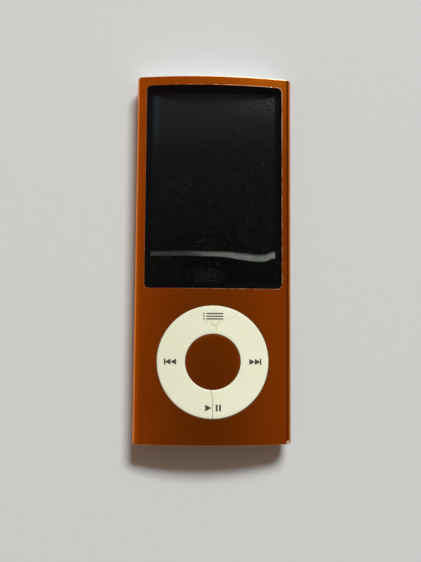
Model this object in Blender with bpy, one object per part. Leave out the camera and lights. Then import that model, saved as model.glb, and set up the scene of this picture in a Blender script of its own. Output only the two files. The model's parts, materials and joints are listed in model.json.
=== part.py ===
"""A slim pocket digital audio player, modelled as the parts it is assembled from.

The player lies on its back. +X runs across its width, +Y along its length towards the end with
the hold switch, and +Z out of the screen. The origin is on the surface it lies on, under the
middle of the case. Dimensions are in millimetres and become metres when a mesh is made.
"""

import math

import bmesh
import bpy
from mathutils import Vector

MM = 0.001

# The case: an oval tube whose front and back are wide arcs, joined by tight arcs at the sides.
LENGTH = 90.7
WIDTH = 38.7
THICKNESS = 6.2
CROWN_RADIUS = 112.0
WALL = 0.45
END_CHAMFER = 0.12
SIDE_RADIUS = (
    CROWN_RADIUS**2 - (WIDTH / 2) ** 2 - (CROWN_RADIUS - THICKNESS / 2) ** 2
) / (2 * CROWN_RADIUS - WIDTH)
SIDE_X = WIDTH / 2 - SIDE_RADIUS
TANGENT_DEG = math.degrees(math.atan2(SIDE_X, CROWN_RADIUS - THICKNESS / 2))
MID_Z = THICKNESS / 2
CROWN_SEGMENTS = 13
SIDE_SEGMENTS = 8

# Clearances: pieces that rest on each other, and edges that show as a fine seam.
GAP = 0.1
SEAM = 0.06
RECESS = 0.04
THROUGH = 1.0

# End caps, set just inside the ends of the tube.
CAP_THICKNESS = 1.05
CAP_OUTER_Y = LENGTH / 2 - GAP
CAP_INNER_Y = CAP_OUTER_Y - CAP_THICKNESS
CAP_INSET = WALL + SEAM

# The window and the display stack below it.
WINDOW_HALF_WIDTH = 16.91
WINDOW_TOP_Y = 43.03
WINDOW_BOTTOM_Y = -7.66
WINDOW_CORNER = 1.2
WINDOW_MID_Y = (WINDOW_TOP_Y + WINDOW_BOTTOM_Y) / 2
GLASS_LIP = 0.6
GLASS_DEPTH = 1.2  # from the crown to the glass's curved underside
GLASS_BOTTOM_Z = 4.0  # where its sides are ground flat
IMAGE_HALF_WIDTH = 15.5
IMAGE_HALF_HEIGHT = 23.83
GASKET_DEPTH = (GLASS_DEPTH + 0.06, GLASS_DEPTH + 0.14)
GASKET_Z = (3.85, 3.93)  # of its flat sides
PANEL_HALF_WIDTH = 16.2
PANEL_Y = (WINDOW_BOTTOM_Y + 0.36, WINDOW_TOP_Y - 0.33)
PANEL_Z = (3.2, 3.75)
LIGHT_GUIDE_Z = (3.0, 3.12)
TRAY_Z = (2.82, 2.92)
TRAY_RIM = 0.2
DISPLAY_FLEX_X = (2.6, 7.6)
DISPLAY_FLEX_DROP = 0.35
DISPLAY_FLEX_END_Y = -13.0

# The moulded chassis that carries the display, the wheel and the main board.
CHASSIS_Z = (2.5, 3.75)
CHASSIS_HALF_WIDTH = 18.0
CHASSIS_Y = (-40.0, 43.6)
WHEEL_POCKET_RADIUS = 14.35
WHEEL_POCKET_Z = 2.8
DISPLAY_BAY_MARGIN = 0.3
JACK_BAY_X = (10.4, 15.1)
JACK_BAY_TOP_Y = -30.8

# The ring-shaped control wheel and its centre button.
WHEEL_Y = -25.44
WHEEL_RADIUS = 13.57
WHEEL_HOLE_RADIUS = WHEEL_RADIUS + 0.12
WHEEL_INNER_RADIUS = 6.72
WHEEL_LIP_RADIUS = 14.0
WHEEL_LIP_DEPTH = 0.95
WHEEL_BOTTOM_Z = 3.95
WHEEL_PIVOT_Z = 5.0
EDGE_CHAMFER = 0.1
BUTTON_RADIUS = 6.62
BUTTON_LIP_RADIUS = 7.2
BUTTON_LIP_Z = (3.45, 3.75)
BUTTON_NUB_RADIUS = 1.5
BUTTON_NUB_Z = 3.4
SENSOR_BOARD_RADII = (7.7, 12.4)
SENSOR_BOARD_Z = (3.45, 3.7)
SWITCH_BOARD_RADIUS = 13.0
SWITCH_BOARD_Z = (2.86, 3.03)
WHEEL_FLEX_HALF_WIDTH = 2.0
WHEEL_FLEX_DROP = 0.45
WHEEL_FLEX_END_Y = -16.0
DOME_RADIUS = 2.0
DOME_Z = (3.07, 3.35)
DOME_SHEET = 0.08
DOME_RING_RADIUS = 10.1
ROUND_SEGMENTS = 56
SMALL_SEGMENTS = 20
JACK_SEGMENTS = 28

# The main board and what is soldered on its underside.
BOARD_Z = (1.75, 2.25)
BOARD_HALF_WIDTH = 14.0
BOARD_Y = (-39.9, -8.4)
CHIP_TOP_Z = BOARD_Z[0] - 0.05
CHIP_CORNER = 0.2
FLEX_THICKNESS = 0.08
FLEX_Z = BOARD_Z[1] + 0.05
FLEX_MID_Z = FLEX_Z + FLEX_THICKNESS / 2
SCREW_PLACES = ((-9.5, -10.2), (9.5, -10.2), (-11.0, -38.2), (8.6, -38.9))
SCREW_HEAD_RADIUS = 1.0
SCREW_RADIUS = 0.5
SCREW_Z = (1.25, 1.68, 3.2)
SCREW_SEGMENTS = 12

# The camera and the microphone behind the wheel, and their openings in the back.
CAMERA_XY = (10.0, -27.0)
CAMERA_HALF_WIDTH = 3.2
CAMERA_Z = (1.3, 2.4)
CAMERA_LENS_RADIUS = 1.3
CAMERA_LENS_Z = 1.08
CAMERA_MARGIN = 0.3
CAMERA_WINDOW_RADIUS = 2.5
MICROPHONE_XY = (8.6, -32.3)
MICROPHONE_HOLE_RADIUS = 0.4
MICROPHONE_HALF_SIZE = (1.4, 1.0)
SPEAKER_XY = (-4.4, -35.9)
SPEAKER_RADII = (2.6, 3.6)
INNER_FACE_Z = 1.0

# The dock connector and the headphone jack in the bottom end.
DOCK_X = -3.8
DOCK_HALF_WIDTH = 11.1
DOCK_HALF_HEIGHT = 1.2
DOCK_SHEET = 0.2
DOCK_Y = (-45.1, -40.3)
DOCK_CONTACTS = 30
DOCK_PITCH = 0.68
DOCK_CONTACT_WIDTH = 0.36
DOCK_CONTACT_Z = (2.68, 2.82)
DOCK_CONTACT_SHEET = 0.12
DOCK_TAIL_Y = -39.3
DOCK_TONGUE_Z = (2.95, 3.35)
DOCK_TONGUE_MARGIN = 0.8
JACK_X = 12.6
JACK_BORE_RADIUS = 1.775
JACK_RADIUS = 1.92
JACK_Y = (-44.1, -34.7)
JACK_BLOCK_WIDTH = 3.4
JACK_BLOCK_HALF_HEIGHT = 0.9
JACK_SPRING_Y = (-34.55, -32.2, -31.6, -31.1)
JACK_SPRING_BEND = 0.5
JACK_SPRING_HALF_WIDTH = 0.4

# The hold switch in the top end.
HOLD_KNOB_X = (-13.0, -8.0)
HOLD_TRAVEL = 2.0
HOLD_KNOB_Z = (2.4, 3.8)
HOLD_FLANGE_Y = (43.75, 44.02)
HOLD_FLANGE_Z = (1.95, 3.95)
MARKER_SHEET = 0.09
HOLD_LEVER_X = -10.5
HOLD_LEVER_HALF_WIDTH = 0.4
HOLD_LEVER_Y = (42.1, 43.5)
HOLD_LEVER_Z = (2.05, 2.35)
HOLD_TINE_OFFSET = 0.8
HOLD_TINE_HALF_WIDTH = 0.3
HOLD_TINE_Y = 43.0
HOLD_BODY_X = (-12.6, -6.4)
HOLD_BODY_Y = (39.2, 42.8)
HOLD_BODY_Z = (1.4, 2.45)

# The battery behind the display.
BATTERY_HALF_WIDTH = 13.0
BATTERY_Y = (-4.7, 38.5)
BATTERY_Z = (1.35, 2.72)
BATTERY_EDGE = 0.3
FOAM_HALF_WIDTH = 6.0
FOAM_Y = (0.0, 34.0)
FOAM_BOTTOM_Z = 0.65
GUARD_BOARD_HALF_WIDTH = 10.0
GUARD_BOARD_DEPTH = 2.2
GUARD_BOARD_Z = (1.6, 2.3)
BATTERY_LEAD_X = (-7.0, -4.0)
BATTERY_LEAD_DROP = 0.6
BATTERY_LEAD_END_Y = -12.0


# ---------------------------------------------------------------- outlines


def arc(centre, radius, start_deg, end_deg, segments):
    """Points on a circle from one angle to another, both ends included."""
    angles = [
        math.radians(start_deg + (end_deg - start_deg) * step / segments)
        for step in range(segments + 1)
    ]
    return [
        (centre[0] + radius * math.cos(angle), centre[1] + radius * math.sin(angle))
        for angle in angles
    ]


def case_outline(inset):
    """The case's cross-section as (x, z) points, moved inwards by inset.

    The crowns' flats touch their arcs from outside, so the middle flat of the back is at z = inset.
    """
    half_step = math.radians(TANGENT_DEG) / CROWN_SEGMENTS
    crown = (CROWN_RADIUS - inset) / math.cos(half_step)
    side = SIDE_RADIUS - inset
    tilt = TANGENT_DEG
    front = arc((0, THICKNESS - CROWN_RADIUS), crown, 90 + tilt, 90 - tilt, CROWN_SEGMENTS)
    right = arc((SIDE_X, MID_Z), side, 90 - tilt, tilt - 90, SIDE_SEGMENTS)
    back = arc((0, CROWN_RADIUS), crown, tilt - 90, -90 - tilt, CROWN_SEGMENTS)
    left = arc((-SIDE_X, MID_Z), side, -90 - tilt, tilt - 270, SIDE_SEGMENTS)
    return front + right[1:] + back[1:] + left[1:-1]


def front_z(x, depth):
    """Height of the surface that lies depth below the front's crown."""
    return THICKNESS - CROWN_RADIUS + math.sqrt((CROWN_RADIUS - depth) ** 2 - x**2)


def back_z(x, depth):
    """Height of the surface that lies depth inside the back's crown."""
    return THICKNESS - front_z(x, depth)


def rectangle(x_range, y_range):
    (x0, x1), (y0, y1) = x_range, y_range
    return [(x0, y0), (x1, y0), (x1, y1), (x0, y1)]


def rounded_rectangle(x_range, y_range, radius, segments=6):
    (x0, x1), (y0, y1) = x_range, y_range
    corners = (
        ((x1 - radius, y0 + radius), -90),
        ((x1 - radius, y1 - radius), 0),
        ((x0 + radius, y1 - radius), 90),
        ((x0 + radius, y0 + radius), 180),
    )
    points = []
    for centre, start in corners:
        points += arc(centre, radius, start, start + 90, segments)
    return points


def circle(centre, radius, segments=SMALL_SEGMENTS):
    return arc(centre, radius, 0, 360, segments)[:-1]


def ribbon_outline(path, thickness):
    """A closed outline around an open path of points, half the thickness to each side."""
    points = [Vector(point) for point in path]
    left, right = [], []
    for index, point in enumerate(points):
        before = points[max(index - 1, 0)]
        after = points[min(index + 1, len(points) - 1)]
        incoming = (point - before).normalized() if index else (after - point).normalized()
        outgoing = (after - point).normalized() if index < len(points) - 1 else incoming
        middle = (incoming + outgoing).normalized()
        across = Vector((-middle.y, middle.x))
        reach = thickness / 2 / max(middle.dot(incoming), 0.5)
        left.append(tuple(point + across * reach))
        right.append(tuple(point - across * reach))
    return left + right[::-1]


# ---------------------------------------------------------------- solids


def material(name, colour, roughness, metallic):
    made = bpy.data.materials.new(name)
    made.use_nodes = True
    shader = made.node_tree.nodes["Principled BSDF"]
    shader.inputs["Base Color"].default_value = (*colour, 1.0)
    shader.inputs["Roughness"].default_value = roughness
    shader.inputs["Metallic"].default_value = metallic
    made.diffuse_color = (*colour, 1.0)
    return made


def add_object(name, build, finish=None, origin=(0.0, 0.0, 0.0)):
    """Make an object from a bmesh in millimetres, with its origin at the given point."""
    bmesh.ops.recalc_face_normals(build, faces=build.faces)
    bmesh.ops.translate(build, verts=build.verts, vec=-Vector(origin))
    bmesh.ops.scale(build, verts=build.verts, vec=(MM, MM, MM))
    mesh = bpy.data.meshes.new(name)
    build.to_mesh(mesh)
    build.free()
    mesh.shade_smooth()
    mesh.set_sharp_from_angle(angle=math.radians(30))
    if finish is not None:
        mesh.materials.append(finish)
    made = bpy.data.objects.new(name, mesh)
    made.location = Vector(origin) * MM
    bpy.context.scene.collection.objects.link(made)
    return made


def loft(name, rings, finish=None, origin=(0.0, 0.0, 0.0)):
    """A solid through rings of 3-D points with the same count, closed by flat ends."""
    build = bmesh.new()
    loops = [[build.verts.new(point) for point in ring] for ring in rings]
    for lower, upper in zip(loops, loops[1:]):
        for index in range(len(lower)):
            following = (index + 1) % len(lower)
            build.faces.new((lower[index], lower[following], upper[following], upper[index]))
    build.faces.new(loops[0][::-1])
    build.faces.new(loops[-1])
    return add_object(name, build, finish, origin)


def case_prism(name, stations, finish=None):
    """The case's section drawn along Y through (y, inset) stations."""
    rings = [[(x, y, z) for x, z in case_outline(inset)] for y, inset in stations]
    return loft(name, rings, finish)


def plate(name, outline, z_range, finish=None, origin=(0.0, 0.0, 0.0)):
    """An (x, y) outline extruded along Z."""
    rings = [[(x, y, z) for x, y in outline] for z in z_range]
    return loft(name, rings, finish, origin)


def box(name, x_range, y_range, z_range, finish=None, origin=(0.0, 0.0, 0.0)):
    return plate(name, rectangle(x_range, y_range), z_range, finish, origin)


def end_plate(name, outline, y_range, finish=None, origin=(0.0, 0.0, 0.0)):
    """An (x, z) outline extruded along Y."""
    rings = [[(x, y, z) for x, z in outline] for y in y_range]
    return loft(name, rings, finish, origin)


def ribbon(name, path, x_range, finish=None):
    """A strip that follows a (y, z) path, as wide as x_range."""
    outline = ribbon_outline(path, FLEX_THICKNESS)
    rings = [[(x, y, z) for y, z in outline] for x in x_range]
    return loft(name, rings, finish)


def turned(name, profile, centre, finish=None, segments=SMALL_SEGMENTS, origin=(0.0, 0.0, 0.0)):
    """A piece turned about a vertical axis.

    The profile is a list of (radius, height) points, where height is a number or a function
    of x that follows the crown of the case. A profile that starts and ends on the axis makes a
    solid disc, and one that doesn't is closed into a ring.
    """
    build = bmesh.new()
    loops = []
    for radius, height in profile:
        loop = []
        for x, y in circle(centre, radius, segments) if radius else [centre]:
            z = height(x) if callable(height) else height
            loop.append(build.verts.new((x, y, z)))
        loops.append(loop)
    pairs = list(zip(loops, loops[1:]))
    if len(loops[0]) > 1:
        pairs.append((loops[-1], loops[0]))
    for first, second in pairs:
        for index in range(segments):
            following = (index + 1) % segments
            corners = (
                first[index % len(first)],
                first[following % len(first)],
                second[following % len(second)],
                second[index % len(second)],
            )
            build.faces.new(list(dict.fromkeys(corners)))
    return add_object(name, build, finish, origin)


def under_front(depth):
    return lambda x: front_z(x, depth)


def inside_back(depth):
    return lambda x: back_z(x, depth)


def combine(target, tool, operation):
    """Cut a tool out of a target, keep what they share, or join them."""
    modifier = target.modifiers.new(tool.name, "BOOLEAN")
    modifier.operation = operation
    modifier.solver = "EXACT"
    modifier.object = tool
    tool.hide_render = True
    tool.display_type = "WIRE"


def cut(target, *tools):
    for tool in tools:
        combine(target, tool, "DIFFERENCE")


# ---------------------------------------------------------------- case


def window_outline(margin):
    """The window's outline, grown by a margin, or shrunk by a negative one."""
    half = WINDOW_HALF_WIDTH + margin
    return rounded_rectangle(
        (-half, half),
        (WINDOW_BOTTOM_Y - margin, WINDOW_TOP_Y + margin),
        WINDOW_CORNER + margin,
    )


def make_case_tube(finish):
    """The extruded tube with its window, wheel opening, and holes for lens and microphone."""
    end = LENGTH / 2
    tube = case_prism(
        "case_tube",
        (
            (-end, END_CHAMFER),
            (-end + END_CHAMFER, 0),
            (end - END_CHAMFER, 0),
            (end, END_CHAMFER),
        ),
        finish,
    )
    above = (MID_Z, THICKNESS + THROUGH)
    below = (-THROUGH, MID_Z)
    cut(
        tube,
        case_prism("cut_tube_bore", ((-end - THROUGH, WALL), (end + THROUGH, WALL))),
        plate("cut_window", window_outline(0), above),
        plate("cut_wheel", circle((0, WHEEL_Y), WHEEL_HOLE_RADIUS, ROUND_SEGMENTS), above),
        plate("cut_lens", circle(CAMERA_XY, CAMERA_WINDOW_RADIUS + GAP), below),
        plate("cut_sound", circle(MICROPHONE_XY, MICROPHONE_HOLE_RADIUS), below),
        end_plate(
            "cut_jack_relief",
            circle((JACK_X, MID_Z), JACK_RADIUS + SEAM),
            (-end - THROUGH, JACK_Y[1] + GAP),
        ),
    )
    return tube


def make_end_caps(finish):
    """The two end caps, pierced for the hold switch, the dock connector and the jack."""
    top = case_prism("top_end_cap", ((CAP_INNER_Y, CAP_INSET), (CAP_OUTER_Y, CAP_INSET)), finish)
    bottom = case_prism(
        "bottom_end_cap", ((-CAP_OUTER_Y, CAP_INSET), (-CAP_INNER_Y, CAP_INSET)), finish
    )
    slot_x = (HOLD_KNOB_X[0] - GAP, HOLD_KNOB_X[1] + HOLD_TRAVEL + GAP)
    slot_z = (HOLD_KNOB_Z[0] - GAP, HOLD_KNOB_Z[1] + GAP)
    slot = rounded_rectangle(slot_x, slot_z, 0.7, 4)
    top_y = (CAP_INNER_Y - THROUGH, CAP_OUTER_Y + THROUGH)
    cut(top, end_plate("cut_hold_slot", slot, top_y))
    dock_half = DOCK_HALF_WIDTH + GAP
    dock = rounded_rectangle(
        (DOCK_X - dock_half, DOCK_X + dock_half),
        (MID_Z - DOCK_HALF_HEIGHT - GAP, MID_Z + DOCK_HALF_HEIGHT + GAP),
        0.6,
        4,
    )
    bottom_y = (-CAP_OUTER_Y - THROUGH, -CAP_INNER_Y + THROUGH)
    cut(
        bottom,
        end_plate("cut_dock_slot", dock, bottom_y),
        end_plate("cut_jack_hole", circle((JACK_X, MID_Z), JACK_BORE_RADIUS), bottom_y),
    )
    return top, bottom


# ---------------------------------------------------------------- display


def make_gasket(under_y, black):
    """The thin black border that follows the glass's underside around the picture."""
    gasket = plate("display_gasket", window_outline(GLASS_LIP / 2), (GASKET_Z[0], THICKNESS), black)
    over, under = GASKET_DEPTH
    roof = case_prism("gasket_roof", [(y, over) for y in under_y])
    sides = plate("gasket_sides", window_outline(THROUGH), (MID_Z, GASKET_Z[1]))
    combine(roof, sides, "UNION")
    combine(gasket, roof, "INTERSECT")
    image = rectangle(
        (-IMAGE_HALF_WIDTH, IMAGE_HALF_WIDTH),
        (WINDOW_MID_Y - IMAGE_HALF_HEIGHT, WINDOW_MID_Y + IMAGE_HALF_HEIGHT),
    )
    cut(
        gasket,
        case_prism("cut_hollow", [(y, under) for y in under_y]),
        plate("cut_image", image, (GASKET_Z[0] - THROUGH, THICKNESS + THROUGH)),
    )


def make_display(glass, black, panel, clear, steel, flex):
    """The crowned cover glass and the flat display stack below it."""
    lens = case_prism(
        "display_glass", ((WINDOW_BOTTOM_Y, RECESS), (WINDOW_TOP_Y, RECESS)), glass
    )
    above = (GLASS_BOTTOM_Z, THICKNESS + THROUGH)
    combine(lens, plate("keep_glass", window_outline(-GAP), above), "INTERSECT")
    lip = case_prism(
        "glass_lip",
        ((WINDOW_BOTTOM_Y - THROUGH, WALL + GAP), (WINDOW_TOP_Y + THROUGH, WALL + GAP)),
    )
    combine(lip, plate("keep_lip", window_outline(GLASS_LIP), above), "INTERSECT")
    combine(lens, lip, "UNION")
    under_y = (WINDOW_BOTTOM_Y - THROUGH, WINDOW_TOP_Y + THROUGH)
    cut(lens, case_prism("cut_underside", [(y, GLASS_DEPTH) for y in under_y]))
    make_gasket(under_y, black)

    panel_x = (-PANEL_HALF_WIDTH, PANEL_HALF_WIDTH)
    box("lcd_panel", panel_x, PANEL_Y, PANEL_Z, panel)
    inner_x = tuple(x - math.copysign(TRAY_RIM + GAP, x) for x in panel_x)
    inner_y = (PANEL_Y[0] + TRAY_RIM + GAP, PANEL_Y[1] - TRAY_RIM - GAP)
    box("light_guide", inner_x, inner_y, LIGHT_GUIDE_Z, clear)
    tray = box("backlight_tray", panel_x, PANEL_Y, (TRAY_Z[0], LIGHT_GUIDE_Z[1]), steel)
    hollow_x = tuple(x - math.copysign(TRAY_RIM, x) for x in panel_x)
    hollow_y = (PANEL_Y[0] + TRAY_RIM, PANEL_Y[1] - TRAY_RIM)
    cut(tray, box("cut_tray", hollow_x, hollow_y, (TRAY_Z[1], PANEL_Z[1])))

    panel_mid_z = sum(PANEL_Z) / 2
    drop_y = PANEL_Y[0] - DISPLAY_FLEX_DROP
    ribbon(
        "display_flex",
        (
            (PANEL_Y[0] - GAP, panel_mid_z),
            (drop_y, panel_mid_z),
            (drop_y, FLEX_MID_Z),
            (DISPLAY_FLEX_END_Y, FLEX_MID_Z),
        ),
        DISPLAY_FLEX_X,
        flex,
    )


# ---------------------------------------------------------------- chassis and boards


def make_chassis(plastic):
    """The moulded frame: an open bay for the display and a pocket for the wheel."""
    half = CHASSIS_HALF_WIDTH
    frame = plate(
        "chassis", rounded_rectangle((-half, half), CHASSIS_Y, 1.0, 3), CHASSIS_Z, plastic
    )
    through = (CHASSIS_Z[0] - THROUGH, CHASSIS_Z[1] + THROUGH)
    bay_half = PANEL_HALF_WIDTH + DISPLAY_BAY_MARGIN
    bay_y = (PANEL_Y[0] - 2 * DISPLAY_FLEX_DROP, PANEL_Y[1] + GAP)
    slot_half = WHEEL_FLEX_HALF_WIDTH + 4 * GAP
    slot_y = WHEEL_Y + SWITCH_BOARD_RADIUS + WHEEL_FLEX_DROP
    cut(
        frame,
        box("cut_bay", (-bay_half, bay_half), bay_y, through),
        plate(
            "cut_pocket",
            circle((0, WHEEL_Y), WHEEL_POCKET_RADIUS, ROUND_SEGMENTS),
            (WHEEL_POCKET_Z, through[1]),
        ),
        box("cut_jack_bay", JACK_BAY_X, (CHASSIS_Y[0] - THROUGH, JACK_BAY_TOP_Y), through),
        box("cut_flex_slot", (-slot_half, slot_half), (slot_y - 3 * GAP, slot_y + 4 * GAP), through),
    )
    screw_depth = (through[0], SCREW_Z[2] + GAP)
    for index, place in enumerate(SCREW_PLACES):
        hole = circle(place, SCREW_RADIUS + GAP, SCREW_SEGMENTS)
        cut(frame, plate(f"cut_thread_{index + 1}", hole, screw_depth))


def make_main_board(board, flex, steel):
    """The main board, stepped around camera and jack, and the screws that hold it."""
    left, right = -BOARD_HALF_WIDTH, BOARD_HALF_WIDTH
    low, high = BOARD_Y
    camera_x, camera_y = CAMERA_XY
    reach = CAMERA_HALF_WIDTH + CAMERA_MARGIN
    notch_x = camera_x - reach
    notch_top = camera_y + reach
    notch_bottom = camera_y - reach
    jack_side = JACK_BAY_X[0] - GAP
    outline = [
        (left, low),
        (jack_side, low),
        (jack_side, notch_bottom),
        (notch_x, notch_bottom),
        (notch_x, notch_top),
        (right, notch_top),
        (right, high),
        (left, high),
    ]
    main = plate("main_board", outline, BOARD_Z, board)
    through = (BOARD_Z[0] - THROUGH, BOARD_Z[1] + THROUGH)
    head_z, shank_z, tip_z = SCREW_Z
    for index, place in enumerate(SCREW_PLACES):
        hole = circle(place, SCREW_RADIUS + GAP, SCREW_SEGMENTS)
        cut(main, plate(f"cut_board_hole_{index + 1}", hole, through))
        profile = (
            (0, head_z),
            (SCREW_HEAD_RADIUS, head_z),
            (SCREW_HEAD_RADIUS, shank_z),
            (SCREW_RADIUS, shank_z),
            (SCREW_RADIUS, tip_z),
            (0, tip_z),
        )
        turned(f"board_screw_{index + 1}", profile, place, steel, SCREW_SEGMENTS)
    top_of_switches = SWITCH_BOARD_Z[0] + FLEX_THICKNESS / 2
    switch_edge = WHEEL_Y + SWITCH_BOARD_RADIUS + GAP
    ribbon(
        "wheel_flex",
        (
            (switch_edge, top_of_switches),
            (switch_edge + WHEEL_FLEX_DROP, top_of_switches),
            (switch_edge + WHEEL_FLEX_DROP, FLEX_MID_Z),
            (WHEEL_FLEX_END_Y, FLEX_MID_Z),
        ),
        (-WHEEL_FLEX_HALF_WIDTH, WHEEL_FLEX_HALF_WIDTH),
        flex,
    )


def make_chips(chip, metal):
    """The packages on the board's underside: name, centre, size and finish."""
    packages = (
        ("processor", (-5.0, -16.5), (9.5, 9.5, 0.7), chip),
        ("flash_memory", (-3.2, -27.0), (12.5, 9.0, 0.7), chip),
        ("power_chip", (7.4, -15.0), (5.0, 5.0, 0.6), chip),
        ("audio_chip", (4.3, -20.1), (4.0, 4.0, 0.6), chip),
        ("motion_sensor", (5.8, -36.6), (3.0, 3.0, 0.6), chip),
        ("clock_crystal", (2.6, -12.6), (2.5, 1.6, 0.5), metal),
    )
    for name, (x, y), (width, depth, height), finish in packages:
        outline = rounded_rectangle(
            (x - width / 2, x + width / 2), (y - depth / 2, y + depth / 2), CHIP_CORNER, 2
        )
        plate(name, outline, (CHIP_TOP_Z - height, CHIP_TOP_Z), finish)


def make_sound_and_camera(metal, black, glass):
    """The piezo speaker, the microphone, and the camera behind its round window."""
    face_radius, rim_radius = SPEAKER_RADII
    rim_z = INNER_FACE_Z + (rim_radius - face_radius) / 2
    turned(
        "piezo_speaker",
        (
            (0, INNER_FACE_Z),
            (face_radius, INNER_FACE_Z),
            (rim_radius, rim_z),
            (rim_radius, CHIP_TOP_Z),
            (0, CHIP_TOP_Z),
        ),
        SPEAKER_XY,
        metal,
    )
    mic_x, mic_y = MICROPHONE_XY
    wide, deep = MICROPHONE_HALF_SIZE
    mic_outline = rounded_rectangle(
        (mic_x - wide, mic_x + wide), (mic_y - deep, mic_y + deep), CHIP_CORNER, 2
    )
    plate("microphone", mic_outline, (INNER_FACE_Z, CHIP_TOP_Z), metal)

    camera_x, camera_y = CAMERA_XY
    half = CAMERA_HALF_WIDTH
    camera = plate(
        "camera_module",
        rounded_rectangle(
            (camera_x - half, camera_x + half), (camera_y - half, camera_y + half), CHIP_CORNER, 2
        ),
        CAMERA_Z,
        black,
    )
    barrel = circle(CAMERA_XY, CAMERA_LENS_RADIUS)
    barrel_z = (CAMERA_LENS_Z, CAMERA_Z[0] + GAP)
    combine(camera, plate("camera_barrel", barrel, barrel_z), "UNION")
    turned(
        "camera_window",
        (
            (0, inside_back(RECESS)),
            (CAMERA_WINDOW_RADIUS, inside_back(RECESS)),
            (CAMERA_WINDOW_RADIUS, inside_back(WALL)),
            (0, inside_back(WALL)),
        ),
        CAMERA_XY,
        glass,
    )


# ---------------------------------------------------------------- wheel


def make_wheel(cream, anodised, board, steel):
    """The control wheel, its sensor board, the centre button, and the switches below them."""
    pivot = (0.0, WHEEL_Y, WHEEL_PIVOT_Z)
    centre = (0.0, WHEEL_Y)
    top = under_front(RECESS)
    shoulder = under_front(RECESS + EDGE_CHAMFER)
    lip = under_front(WHEEL_LIP_DEPTH)
    inner, outer = WHEEL_INNER_RADIUS, WHEEL_RADIUS
    turned(
        "control_wheel",
        (
            (inner, WHEEL_BOTTOM_Z),
            (inner, shoulder),
            (inner + EDGE_CHAMFER, top),
            ((inner + outer) / 2, top),
            (outer - EDGE_CHAMFER, top),
            (outer, shoulder),
            (outer, lip),
            (WHEEL_LIP_RADIUS, lip),
            (WHEEL_LIP_RADIUS, WHEEL_BOTTOM_Z),
        ),
        centre,
        cream,
        ROUND_SEGMENTS,
        pivot,
    )
    low, high = SENSOR_BOARD_Z
    inner, outer = SENSOR_BOARD_RADII
    turned(
        "wheel_sensor_board",
        ((inner, low), (inner, high), (outer, high), (outer, low)),
        centre,
        board,
        ROUND_SEGMENTS,
        pivot,
    )
    low, high = BUTTON_LIP_Z
    turned(
        "center_button",
        (
            (0, top),
            (BUTTON_RADIUS / 2, top),
            (BUTTON_RADIUS - EDGE_CHAMFER, top),
            (BUTTON_RADIUS, shoulder),
            (BUTTON_RADIUS, high),
            (BUTTON_LIP_RADIUS, high),
            (BUTTON_LIP_RADIUS, low),
            (BUTTON_NUB_RADIUS, low),
            (BUTTON_NUB_RADIUS, BUTTON_NUB_Z),
            (0, BUTTON_NUB_Z),
        ),
        centre,
        anodised,
        ROUND_SEGMENTS,
        pivot,
    )
    plate(
        "wheel_switch_board",
        circle(centre, SWITCH_BOARD_RADIUS, 48),
        SWITCH_BOARD_Z,
        board,
    )
    make_domes(steel)


def make_domes(steel):
    """Five snap domes on the switch board: four below the wheel and one below the button."""
    low, high = DOME_Z
    shoulder = low + 0.85 * (high - low)  # a dome is nearly flat on top
    profile = (
        (0, high),
        (DOME_RADIUS / 2, shoulder),
        (DOME_RADIUS, low + DOME_SHEET / 2),
        (DOME_RADIUS, low),
        (DOME_RADIUS / 2, shoulder - DOME_SHEET),
        (0, high - DOME_SHEET),
    )
    reach = DOME_RING_RADIUS
    places = {
        "menu_dome": (0, WHEEL_Y + reach),
        "next_dome": (reach, WHEEL_Y),
        "play_dome": (0, WHEEL_Y - reach),
        "previous_dome": (-reach, WHEEL_Y),
        "center_dome": (0, WHEEL_Y),
    }
    for name, place in places.items():
        turned(name, profile, place, steel, 16)


# ---------------------------------------------------------------- connectors


def make_dock_connector(steel, black, contact):
    """A flat thirty-way connector: folded shell, plastic tongue, and the row of contacts."""
    half = DOCK_HALF_WIDTH
    shell_x = (DOCK_X - half, DOCK_X + half)
    shell_z = (MID_Z - DOCK_HALF_HEIGHT, MID_Z + DOCK_HALF_HEIGHT)
    shell = end_plate("dock_shell", rounded_rectangle(shell_x, shell_z, 0.5, 3), DOCK_Y, steel)
    bore_x = (shell_x[0] + DOCK_SHEET, shell_x[1] - DOCK_SHEET)
    bore_z = (shell_z[0] + DOCK_SHEET, shell_z[1] - DOCK_SHEET)
    bore_y = (DOCK_Y[0] - THROUGH, DOCK_Y[1] + THROUGH)
    cut(shell, end_plate("cut_dock_bore", rounded_rectangle(bore_x, bore_z, 0.3, 3), bore_y))

    tongue_y = (DOCK_Y[0] + 0.6, DOCK_Y[1] - 1.1)
    tongue_half = half - DOCK_TONGUE_MARGIN
    tongue_x = (DOCK_X - tongue_half, DOCK_X + tongue_half)
    tongue = box("dock_tongue", tongue_x, tongue_y, DOCK_TONGUE_Z, black)
    base_x = (bore_x[0] + GAP, bore_x[1] - GAP)
    base_y = (tongue_y[1] - GAP, DOCK_Y[1] - GAP)
    base_z = (DOCK_TONGUE_Z[0] - SEAM, bore_z[1] - GAP)
    combine(tongue, box("dock_base", base_x, base_y, base_z), "UNION")

    make_dock_contacts((tongue_y[0] + 3 * GAP, tongue_y[1]), contact)


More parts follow.
